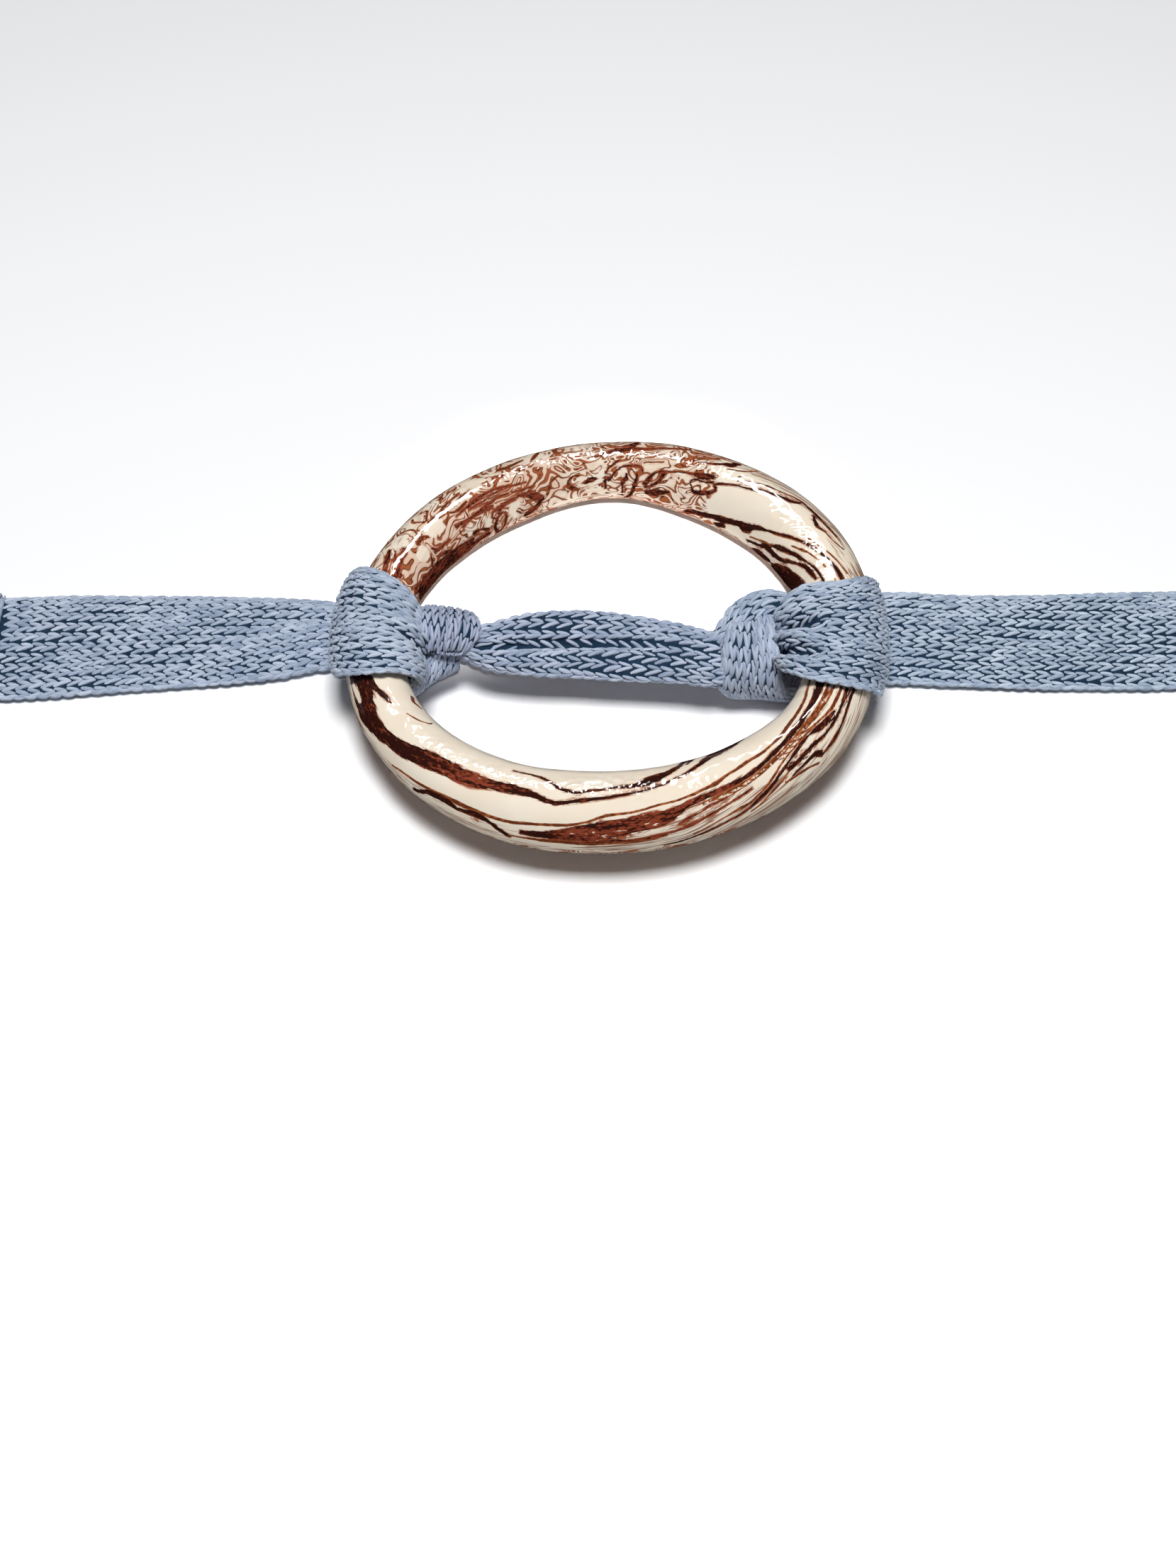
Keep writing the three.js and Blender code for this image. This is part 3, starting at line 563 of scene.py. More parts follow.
def clayFinish():
    finish = Finish("marbled_clay")
    place = finish.attribute("clay")
    feather = finish.cloud(finish.scaled(place, clay["feather"]), 1.0, 3.0) - 0.5
    fine = finish.cloud(finish.scaled(place, clay["fine"]), 1.0, 2.0) - 0.5
    swirls, grains, red = finish.split(finish.attribute("patch"))

    def streakField(name):
        # distance from a streak's frayed edge, below 0 inside it
        signed, plain, half = finish.split(finish.attribute(name))
        rough = finish.lower(half, 0.9) * clay["fray"][name] + 0.1
        return finish.higher(abs(signed), plain) - half - feather * rough - fine * 0.14

    dark = streakField("darkStreak")
    rust = streakField("rustStreak")
    warp = finish.cloud(place, 0.16, 1.0, output=1)
    moved = finish.add("VectorMath", {"operation": "MULTIPLY_ADD"}, {0: warp, 1: clay["warp"], 2: place})
    thick = finish.cloud(place, 0.3, 1.0)

    # swirls are contour lines of a warped cloud
    level = finish.cloud(finish.scaled(moved, clay["swirls"]), 1.0, 1.0, 0.4) * clay["swirlLines"]
    ridge = abs(level.maths("FRACT", level) - 0.5) * 2.0 - fine * 0.25
    swirlRise = finish.rise(swirls + (thick - 0.5) * 0.9, 0.25, 0.45)
    narrow = thick - 0.12
    swirlDark = (1 - finish.rise(ridge - narrow, -0.08, 0.05)) * swirlRise
    swirlRust = (1 - finish.rise(ridge - narrow, 0.05, 0.4)) * swirlRise

    # grain is fine streaks that follow the twist
    combed = finish.cloud(finish.scaled(place, clay["grains"]), 1.0, 2.0, 0.1) * clay["grainLines"]
    comb = abs(combed.maths("FRACT", combed) - 0.5) * 2.0
    grainRise = finish.rise(grains + (thick - 0.5), 0.2, 0.6)
    grain = (1 - finish.rise(comb - thick * 0.6, -0.06, 0.08)) * grainRise

    # then the colours, each over the last: cream, smears, grain, swirls, rust and dark streaks, flecks
    cream = finish.blend(finish.cloud(place, 0.12, 3.0), clay["cream"], clay["shadedCream"])
    mottle = finish.rise(red * 0.45 + feather * 1.6 + fine * 1.6, 0.1, 0.6)
    darkClay = finish.blend(mottle, clay["dark"], clay["red"])
    smear = finish.rise(red * swirls + feather, 0.2, 0.75) * 0.5
    colour = finish.blend(smear, cream, clay["smear"])
    colour = finish.blend(grain * 0.8, colour, clay["grain"])
    colour = finish.blend(swirlRust * 0.5, colour, clay["smear"])
    edge = abs(ridge - narrow) + feather * 0.25 + fine * 0.15
    swirlClay = finish.blend(finish.rise(edge, 0.09, 0.26), clay["swirl"], clay["paleSwirl"])
    colour = finish.blend(swirlDark, colour, swirlClay)
    rustCore = finish.rise(feather + fine * 1.5 - rust, -0.12, 0.25)
    rustClay = finish.blend(rustCore, clay["rust"], clay["brown"])
    colour = finish.blend(1 - finish.rise(rust, -0.07, 0.09), colour, rustClay)
    rim = (1 - finish.rise(dark, 0.02, 0.3)) * finish.rise(feather + fine, -0.2, 0.1)
    colour = finish.blend(rim * 0.85, colour, clay["rust"])
    colour = finish.blend(1 - finish.rise(dark, -0.08, 0.05), colour, darkClay)
    fleck = finish.rise(feather + fine * 1.3 + red * 0.05, 0.34, 0.4) * finish.rise(red, 0.6, 0.9)
    colour = finish.blend(fleck * (1 - finish.rise(dark, -0.5, 0.1)), colour, cream)

    uneven = finish.attribute("uneven", "Fac")
    ripple = finish.cloud(place, 0.35, 0.0) * 0.4 + finish.cloud(place, 0.8, 0.0) * (uneven * 1.1 + 0.04)
    bump = finish.add("Bump", inputs={"Strength": 1.0, "Distance": clay["ripple"], "Height": ripple})
    return finish.surface({
        "Base Color": colour,
        "Roughness": clay["roughness"],
        "Specular IOR Level": clay["mirror"],
        "Normal": bump,
    })


# The strap: bands of a flattened knitted tube, a row for each section along the run. First the far edge
# (x, y, z) and the near edge (x, y, z), then the thickness and how far the middle stands proud

strap = {
    "squareness": 5,
    "inset": 0.55,  # the ground under the stitches lies this deep in the knitting
    "room": 0.3,  # and this far from the glaze
    "clearance": 0.06,  # yarn keeps this far from the glaze
    "lifts": (0.05, 0.02),  # the ground and the yarn keep this far above the table
    "buried": (0.2, 4.0),  # a stitch whose depth in another band is between these is left out
    "sunk": (0.1, 0.25),  # and so is one this deep in the ring, or under the table
    "groundSides": 80,
    "roomSides": (120, 28),
    "readSides": (160, 240),  # rows along a band and points round it that its surface is read from
    "stitchSides": (160, 180),  # and those that the stitches are laid on
    "course": 2.3,  # from one stitch to the next along the strap
    "wale": 2.0,  # and across it
    "seed": 7,
    "upward": Vector((0.011, 0.007, 1.0)).normalized(),  # the ray that tells inside from outside
}
leftTail = [
    (-115, 18.6, 1.3, -115, -7.2, 1.3, 2.8, 0), (-100, 19.3, 1.3, -100, -6.2, 1.3, 2.8, 0),
    (-85, 19.2, 1.3, -85, -4.5, 1.3, 2.8, 0.1), (-70, 18.8, 1.4, -70, -3.2, 1.4, 3.0, 0.3),
    (-60, 18.3, 1.5, -60, -1.8, 1.5, 3.2, 0.6), (-52, 17.4, 1.6, -52, 0.2, 1.5, 3.3, 0.8),
    (-44, 15.5, 1.5, -44, -0.5, 1.4, 3.0, 0.1), (-36, 9.5, 1.5, -37, -4.5, 1.5, 3.0, 0),
]
leftFlap = [
    (-37, 9.0, 1.6, -38, -4.5, 1.6, 3.0, 0), (-31, 4.0, 2.2, -36.8, -6.4, 3.0, 3.2, 0.3),
    (-29.0, -1.2, 4.4, -35.6, -8.8, 5.6, 3.4, 0.8), (-27.0, -3.2, 7.0, -34.8, -8.9, 8.6, 3.0, 0.8),
    (-26.4, -1.6, 8.8, -34.2, -5.4, 10.4, 2.6, 0),
]
leftKnot = [
    (-34.5, 12.0, 4.8, -37, 0.0, 4.6, 2.8, 0), (-28.5, 10.0, 5.2, -35.0, 5.0, 5.4, 4.0, 0),
    (-24.2, 6.2, 8.0, -35.2, 6.6, 8.8, 4.2, 0.3), (-23.2, 2.6, 11.4, -35.2, 3.8, 13.0, 4.2, 0.5),
    (-22.8, -0.8, 12.8, -35.0, -0.6, 14.6, 4.0, 0.7), (-23.8, -2.6, 11.8, -34.8, -3.0, 13.6, 3.2, 0.5),
    (-25.4, -3.0, 10.4, -34.4, -3.6, 12.0, 2.6, 0.2),
]
bridge = [
    (-37, 3.4, 10.0, -37, -2.0, 9.4, 3.6, 0), (-30, 2.2, 9.8, -30, -2.2, 8.8, 4.0, 0.4),
    (-26.6, 2.4, 10.2, -26.6, -3.8, 8.9, 4.2, 0.8), (-22, 3.4, 10.8, -22, -6.4, 9.1, 4.3, 1.0),
    (-15, 6.2, 10.6, -15, -7.6, 8.9, 4.0, 1.0), (-6, 7.4, 10.2, -6, -8.1, 8.6, 3.8, 0.9),
    (3, 6.3, 10.2, 3, -8.7, 8.6, 3.8, 0.9), (12, 3.9, 10.6, 12, -9.4, 8.9, 4.0, 1.0),
    (19, 1.6, 10.8, 19, -10.2, 9.0, 4.2, 0.6), (27, 2.4, 10.4, 27, -7.6, 9.4, 4.4, 0),
    (33, 3.4, 13.4, 33, -5.0, 12.4, 4.4, 0),
]
rightArc = [
    (16.4, 0.4, 9.8, 17.4, -4.2, 8.8, 3.2, 0), (19.2, 2.0, 11.2, 23.0, -3.4, 12.0, 4.0, 0.5),
    (22.2, 5.9, 12.2, 25.8, -0.8, 13.9, 4.4, 0.9), (27.2, 7.9, 13.0, 29.0, 0.9, 15.4, 4.4, 0.9),
    (32.0, 7.9, 12.8, 32.4, 1.2, 14.4, 4.0, 0.2), (36.0, 5.4, 12.0, 36.0, 0.2, 13.0, 3.0, 0),
]
rightKnot = [
    (35.0, 13.0, 4.2, 36.0, 1.0, 4.2, 2.6, 0), (25.0, 8.0, 6.2, 30.8, 6.0, 6.6, 4.2, 0),
    (23.4, 4.2, 9.6, 30.4, 4.2, 10.6, 4.6, 0.2), (21.0, 0.2, 12.8, 29.6, 1.4, 14.2, 4.8, 0.6),
    (19.8, -3.8, 13.4, 29.9, -3.4, 14.6, 5.0, 0.9), (19.4, -7.0, 11.4, 30.6, -7.2, 12.2, 5.0, 0.9),
    (18.8, -8.4, 8.4, 31.0, -8.8, 8.8, 4.8, 0.8), (20.6, -7.4, 4.8, 32.2, -8.0, 4.8, 4.2, 0.6),
    (27.0, -3.4, 2.1, 35.0, -6.4, 1.9, 3.4, 0.2), (32.0, 6.0, 1.5, 39.0, -5.2, 1.4, 3.0, 0),
]
rightTail = [
    (30.0, 5.0, 1.5, 37.5, -6.0, 1.4, 3.0, 0), (37.0, 13.0, 1.4, 43.0, -4.4, 1.3, 2.8, 0),
    (46.0, 19.0, 1.4, 49.0, -3.4, 1.3, 2.8, 0.1), (55, 20.2, 1.4, 55, -3.4, 1.4, 3.0, 0.3),
    (65, 19.4, 1.4, 65, -3.8, 1.4, 3.0, 0.3), (80, 19.4, 1.3, 80, -4.4, 1.3, 2.8, 0.2),
    (97, 20.2, 1.3, 97, -4.4, 1.3, 2.8, 0), (115, 20.4, 1.3, 115, -4.0, 1.3, 2.8, 0),
]
# The rows that close the tails' ends
leftEnd = [(-115.8, y, 1.35, -113.2, y, 1.35, 2.8, 0) for y in (17.9, 12, 5.5, -1, -6.5)]
rightEnd = [(115.8, y, 1.35, 113.2, y, 1.35, 2.8, 0) for y in (19.7, 14, 8, 2, -3.3)]
# Bands wound on a limb: the angle around the tube, how far the edges lie along the limb from the X axis,
# the clearance from the glaze, the thickness and how far the middle stands proud
leftWrap = [
    (-20, 4.0, -13.0, 0.4, 3.4, 0.2), (10, 4.9, -15.8, 0.4, 3.4, 0.4), (40, 6.4, -16.9, 0.4, 3.2, 0.6),
    (70, 7.9, -16.4, 0.3, 3.0, 0.3), (100, 9.2, -15.6, 0.4, 2.9, 0.1), (130, 10.6, -13.6, 0.5, 2.7, 0),
    (160, 11.6, -10.8, 0.6, 2.7, 0), (190, 12.0, -8.4, 0.4, 2.6, 0), (225, 13.0, -6.2, 0.3, 2.6, 0),
    (260, 13.8, -3.6, 0.3, 2.6, 0), (300, 13.4, -1.0, 0.4, 2.8, 0),
]
rightWrap = [
    (4, 6.4, -13.0, 1.2, 5.0, 0.8), (24, 7.2, -16.8, 1.2, 4.6, 1.4), (45, 7.2, -18.8, 0.8, 3.8, 1.1),
    (65, 6.4, -19.6, 0.4, 3.0, 0.5), (90, 5.8, -19.2, 0.3, 2.6, 0.1), (120, 7.2, -17.6, 0.3, 2.4, 0),
    (150, 8.6, -15.2, 0.3, 2.2, 0), (180, 10.4, -13.0, 0.3, 2.2, 0), (215, 12.4, -9.4, 0.3, 2.2, 0),
    (255, 13.8, -6.0, 0.3, 2.2, 0), (300, 13.0, -2.0, 0.4, 2.4, 0),
]


def newBand(name, rows, dense, full, stations, tint, folds=(), **more):
    # dense packs the stitches round the band and full is their width; tint is how violet the yarn is.
    # folds run along it: from and to along the run, the place across at each end, from -1 at the far
    # edge to 1 at the near one, then depth and spread. pointing is 1 where the stitches' points face
    # along the run, and leaning is 1 where their longer legs lie on the near side. limb is -1 or 1 for
    # a wound band, and start or end stops the stitches short there
    return {"name": name, "rows": rows, "dense": dense, "full": full, "stations": stations,
            "tint": tint, "folds": folds, "pointing": 1, "leaning": 1, **more}


bands = [
    newBand("knit_left_tail", leftTail, 1.05, 0.97, 60, 0.35,
            [(0.45, 1.0, -0.45, -0.3, 0.9, 0.16)], start=0),
    newBand("knit_left_hitch", leftFlap, 1.15, 1.0, 30, 0.7),
    newBand("knit_left_hitch", leftKnot, 1.6, 1.05, 40, 1.0),
    newBand("knit_left_hitch", leftWrap, 1.25, 1.0, 56, 0.3,
            [(-0.1, 0.3, 0.3, 0.08, 2.0, 0.1), (-0.12, 0.26, 0.06, -0.1, -1.1, 0.1)],
            limb=-1, pointing=-1, leaning=-1),
    newBand("knit_bridge", bridge, 1.0, 0.84, 60, 0.6, [(0.16, 0.74, 0.35, -0.02, 1.9, 0.11)]),
    newBand("knit_bridge", rightArc, 1.15, 0.92, 30, 0.3),
    newBand("knit_right_hitch", rightWrap, 1.06, 0.82, 60, 0.2,
            [(-0.1, 0.32, -0.16, -0.08, 4.2, 0.14), (-0.1, 0.34, 0.42, 0.5, 3.8, 0.13)], limb=1),
    newBand("knit_right_hitch", rightKnot, 1.85, 1.42, 56, 0.5, [(0.2, 0.5, 0.45, 0.3, 0.5, 0.16)]),
    newBand("knit_right_tail", rightTail, 1.0, 0.82, 60, 0.0,
            [(0.3, 0.95, -0.1, -0.05, 0.5, 0.25)], end=1),
    newBand("knit_left_tail", leftEnd, 1.0, 1.0, 24, 0.35),
    newBand("knit_right_tail", rightEnd, 1.0, 1.0, 24, 0.0),
]


def foldDepth(folds, share, place):
    depth = np.zeros(np.broadcast(share, place).shape)
    for start, end, fromPlace, toPlace, deep, spread in folds:
        part = (share - start) / (end - start)
        middle = fromPlace + (toPlace - fromPlace) * part
        fade = np.where((part > 0) & (part < 1), np.sin(math.pi * part), 0)
        depth = depth + deep * fade * np.exp(-(((place - middle) / spread) ** 2))
    return depth


def sectionShape(count):
    # places across from -1 to 1 and heights from -1 to 1 of a flattened tube's section
    angle = np.arange(count) / count * wholeTurn
    place = -np.cos(angle)
    return place, np.sign(np.sin(angle)) * np.sqrt(1 - np.abs(place) ** strap["squareness"])


def bandPoints(band, stations, sides):
    share = np.linspace(0, 1, stations + 1)
    place, height = sectionShape(sides)
    rows = throughRows(band["rows"], share)
    fold = foldDepth(band["folds"], share[:, None], place)
    if "limb" in band:
        around, far, near, clear, thick, puff = rows.T[:, :, None]
        along = far + (near - far) * (place + 1) / 2
        limb = 0 if band["limb"] > 0 else math.pi
        reach = throughRows(ring["sections"], np.array(limb / wholeTurn), closed=True)[0]
        turn = limb + band["limb"] * along / reach
        lift = clear + thick * (1 + height) / 2 + puff * (1 - place**2) - fold
        return besideRing(turn, np.broadcast_to(np.radians(around), turn.shape), lift)
    far, near = rows[:, None, 0:3], rows[:, None, 3:6]
    thick, puff = rows[:, 6:7], rows[:, 7:8]
    ahead = np.gradient((far + near)[:, 0], axis=0)
    up = unit(np.cross(ahead, (far - near)[:, 0]))
    lift = puff * (1 - place**2) - fold + height * thick / 2
    return far + (near - far) * ((place + 1) / 2)[:, None] + up[:, None] * lift[..., None]


def evenGrid(band, rows, sides):
    # points and outward normals of a band's surface, evenly spaced along and round it
    stations, readings = strap["readSides"]
    loop = bandPoints(band, stations, readings)
    loop = np.concatenate([loop, loop[:, :1]], 1)
    steps = np.linalg.norm(np.diff(loop, axis=1), axis=2)
    lengths = np.concatenate([np.zeros((len(steps), 1)), np.cumsum(steps, 1)], 1)
    places = np.arange(sides) / sides
    grid = np.stack([
        np.stack([np.interp(places * length[-1], length, row[:, axis]) for axis in range(3)], 1)
        for length, row in zip(lengths, loop)])
    middle = grid.mean(1)
    run = np.concatenate([[0], np.cumsum(np.linalg.norm(np.diff(middle, axis=0), axis=1))])
    even = np.interp(np.linspace(0, run[-1], rows + 1), run, np.arange(stations + 1))
    low = np.minimum(even.astype(int), stations - 1)
    part = (even - low)[:, None, None]
    grid = grid[low] * (1 - part) + grid[low + 1] * part
    along = np.gradient(grid, axis=0)
    across = np.roll(grid, -1, 1) - np.roll(grid, 1, 1)
    normal = unit(np.cross(along, across))
    if (normal * (grid - grid.mean(1)[:, None])).sum() < 0:
        normal = -normal
    return grid, normal, run[-1], lengths[:, -1].mean()


def newPiece(name, points, corners, starts):
    mesh = bpy.data.meshes.new(name)
    mesh.vertices.add(len(points))
    mesh.vertices.foreach_set("co", (points * millimetre).ravel())
    mesh.loops.add(len(corners))
    mesh.loops.foreach_set("vertex_index", corners.astype(np.int32))
    mesh.polygons.add(len(starts))
    mesh.polygons.foreach_set("loop_start", starts.astype(np.int32))
    mesh.update(calc_edges=True)
    mesh.shade_smooth()
    piece = bpy.data.objects.new(name, mesh)
    bpy.context.collection.objects.link(piece)
    return piece


def skinFaces(rings, sides, closed=False):
    # quads between rings of points, and on each open end a fan from a point that follows the rings
    i, j = np.meshgrid(np.arange(rings - (not closed)), np.arange(sides), indexing="ij")
    k, n = (j + 1) % sides, (i + 1) % rings
    quads = np.stack([i * sides + j, n * sides + j, n * sides + k, i * sides + k], -1).reshape(-1, 4)
    if closed:
        return quads.ravel(), np.arange(len(quads)) * 4
    side = np.arange(sides)
    first, last = rings * sides, (rings - 1) * sides
    start = np.stack([np.full(sides, first), side, (side + 1) % sides], 1)
    end = np.stack([np.full(sides, first + 1), last + (side + 1) % sides, last + side], 1)
    corners = np.concatenate([quads.ravel(), start.ravel(), end.ravel()])
    starts = np.concatenate([np.arange(len(quads)) * 4, len(quads) * 4 + np.arange(2 * sides) * 3])
    return corners, starts


def outward(points, corners, starts):
    # turns the faces round if they enclose a negative volume
    a, b, c = (points[corners[starts + step]] for step in (0, 1, 2))
    last = np.append(starts[1:], len(corners)) - 1
    d = points[corners[last]]
    volume = (np.cross(a, b) * c).sum() + (np.cross(a, c) * d).sum()
    if volume >= 0:
        return corners
    sizes = np.diff(np.append(starts, len(corners)))
    return np.concatenate([corners[start:start + size][::-1] for start, size in zip(starts, sizes)])


def groundBand(band):
    grid, normal, _, _ = evenGrid(band, band["stations"], strap["groundSides"])
    points = grid - normal * strap["inset"]
    rings, sides = points.shape[:2]
    points = np.concatenate([points.reshape(-1, 3), points[[0, -1]].mean(1)])
    points[:, 2] = np.maximum(points[:, 2], strap["lifts"][0])
    corners, starts = skinFaces(rings, sides)
    return points, outward(points, corners, starts), starts


def joinWith(piece, other, operation):
    joint = piece.modifiers.new("joint", "BOOLEAN")
    joint.operation = operation
    joint.solver = "MANIFOLD"
    joint.object = other
    bpy.context.view_layer.objects.active = piece
    bpy.ops.object.modifier_apply(modifier=joint.name)
    bpy.data.objects.remove(other)


def makeGround():
    bpy.ops.object.select_all(action="DESELECT")
    piece = None
    for band in bands:
        part = newPiece("knit_ground", *groundBand(band))
        if piece is None:
            piece = part
        else:
            joinWith(piece, part, "UNION")
    # room for the ring
    loops, sides = strap["roomSides"]
    turn, around = np.meshgrid(np.arange(loops) / loops, np.arange(sides) / sides, indexing="ij")
    room = besideRing(turn * wholeTurn, around * wholeTurn, strap["room"]).reshape(-1, 3)
    corners, starts = skinFaces(loops, sides, closed=True)
    joinWith(piece, newPiece("ring_room", room, outward(room, corners, starts), starts), "DIFFERENCE")
    piece.name = "knit_ground"
    piece.data.materials.clear()
    # the ground is coloured with painted shade, the dark of the gaps between stitches
    piece.data.materials.append(groundShadeFinish())
    piece.data.shade_smooth()
    return piece


# Stitches: legs of yarn laid on the bands' outer surface

yarn = {
    # from the open end to the point, in courses along and wales across, of the longer and shorter leg
    "legs": [((-1.12, 0.62), (0.66, 0.0)), ((-0.86, -0.50), (0.50, -0.08))],
    "thick": 0.25,  # half a leg's width, in wales
    "high": 0.46,  # half its height in millimetres
    "dive": (0.7, 0.3),  # how far its open end and its point go in under the next ones
    "diveCurve": (2.2, 4),  # and how sharply
    "bow": 0.12,  # how far a leg's middle bends across, as a share of its reach across
    "shares": [0.0, 0.07, 0.26, 0.5, 0.74, 0.93, 1.0],
    "fullness": [0.0, 0.5, 0.88, 1.0, 0.9, 0.58, 0.0],
    "angles": [0, 50, 90, 130, 180, 270],
    "loose": (0.05, 0.03, 0.05, 0.09),  # jitter along, across and up, and of the width
    "stray": (0.28, 0.16),  # slow drift of the rows, in courses and wales
    "strayWaves": ((0.9, 1.3, 0.31), (0.45, 0.8)),  # and its beat, in radians for each wale or course
    "overhang": 0.3,  # courses by which a stitch may stand out past a band's end
}


def readGrid(grid, run, circling):
    # what a band's grid holds at shares of its run and of the way round it
    rows, sides = grid.shape[:2]
    a = run * (rows - 1)
    i = np.clip(np.floor(a).astype(int), 0, rows - 2)
    b = (circling % 1) * sides
    j = b.astype(int) % sides
    k = (j + 1) % sides
    a, b = (a - i)[..., None], (b - np.floor(b))[..., None]
    return ((grid[i, j] * (1 - b) + grid[i, k] * b) * (1 - a)
            + (grid[i + 1, j] * (1 - b) + grid[i + 1, k] * b) * a)


def glazeDistance(points):
    # distances from the glaze and from the tube's middle, and how far out that middle lies
    x, y, z = np.moveaxis(points, -1, 0)
    sections = throughRows(ring["sections"], np.arctan2(y, x) / wholeTurn, closed=True)
    reach, tube = np.moveaxis(sections, -1, 0)
    radius = np.hypot(x, y)
    away = np.hypot(radius - reach, z - view["ringHeight"])
    return away - tube, away, reach


def bandLegs(band, random):
    # the middles, directions, half sizes, lengths and tones of the yarn's legs in one band
    grid, normal, length, girth = evenGrid(band, *strap["stitchSides"])
    courses = round(length / strap["course"])
    wales = round(girth / strap["wale"] * band["dense"])
    i, k = np.meshgrid(np.arange(-1, courses + 1), np.arange(wales), indexing="ij")
    i, k = i.ravel(), k.ravel()
    (perWale, sway, perCourse), (courseBeat, waleBeat) = yarn["strayWaves"]
    driftAlong = yarn["stray"][0] * np.sin(k * perWale + sway * np.sin(i * perCourse) + wales)
    driftAcross = yarn["stray"][1] * np.sin(i * courseBeat + k * waleBeat)
    shares, fullness = np.array(yarn["shares"]), np.array(yarn["fullness"])
    dip = sum(depth * share ** curve for depth, share, curve in zip(
        yarn["dive"], (1 - shares, shares), yarn["diveCurve"]))
    legs = []
    for (fromAlong, fromAcross), (toAlong, toAcross) in yarn["legs"]:
        jitter = random.normal(size=(len(i), 4)) * yarn["loose"]
        along = fromAlong + (toAlong - fromAlong) * shares
        across = fromAcross + (toAcross - fromAcross) * (shares + yarn["bow"] * np.sin(math.pi * shares))
        run = (i + 0.5 + jitter[:, 0] + driftAlong)[:, None] + along * band["pointing"]
        circling = (k + jitter[:, 1] + driftAcross)[:, None] + across * band["leaning"]
        run, circling = run / courses, circling / wales
        past = yarn["overhang"] / courses
        inside = (run[:, 3] > -past) & (run[:, 3] < 1 + past)
        inside &= (run.min(1) > band.get("start", -1)) & (run.max(1) < band.get("end", 2))
        tone = random.random(len(i))[inside]
        run, circling, jitter = run[inside], circling[inside], jitter[inside]
        up = unit(readGrid(normal, run, circling))
        depth = yarn["high"] + dip - jitter[:, 2:3] * 0.6
        centre = readGrid(grid, run, circling) - up * depth[..., None]
        side = unit(np.cross(up, unit(np.gradient(centre, axis=1))))
        pitch = girth / wales
        wide = yarn["thick"] * band["full"] * pitch * (1 + jitter[:, 3:4]) * fullness
        high = yarn["high"] * (1 + jitter[:, 3:4] * 0.5) * fullness
        lengths = np.linalg.norm(np.diff(centre, axis=1), axis=-1).sum(1)
        legs.append((centre, side, up, wide, high, lengths, tone))
    return [np.concatenate(parts) for parts in zip(*legs)]


def isInside(tree, point):
    # a ray from inside crosses the surface an odd number of times
    crossings = 0
    place = tree.ray_cast(point, strap["upward"])[0]
    while place is not None:
        crossings += 1
        place = tree.ray_cast(place + strap["upward"] * 1e-3, strap["upward"])[0]
    return crossings % 2 == 1


def hiddenLegs(middles, others):
    # legs whose middles lie deep in another band, in the ring or under the table
    inRing, underTable = strap["sunk"]
    shallow, deep = strap["buried"]
    gone = (glazeDistance(middles)[0] < -inRing) | (middles[:, 2] < -underTable)
    for tree in others:
        for index in np.flatnonzero(~gone):
            point = Vector(middles[index])
            apart = tree.find_nearest(point)[3]
            if shallow < apart < deep and isInside(tree, point):
                gone[index] = True
    return gone


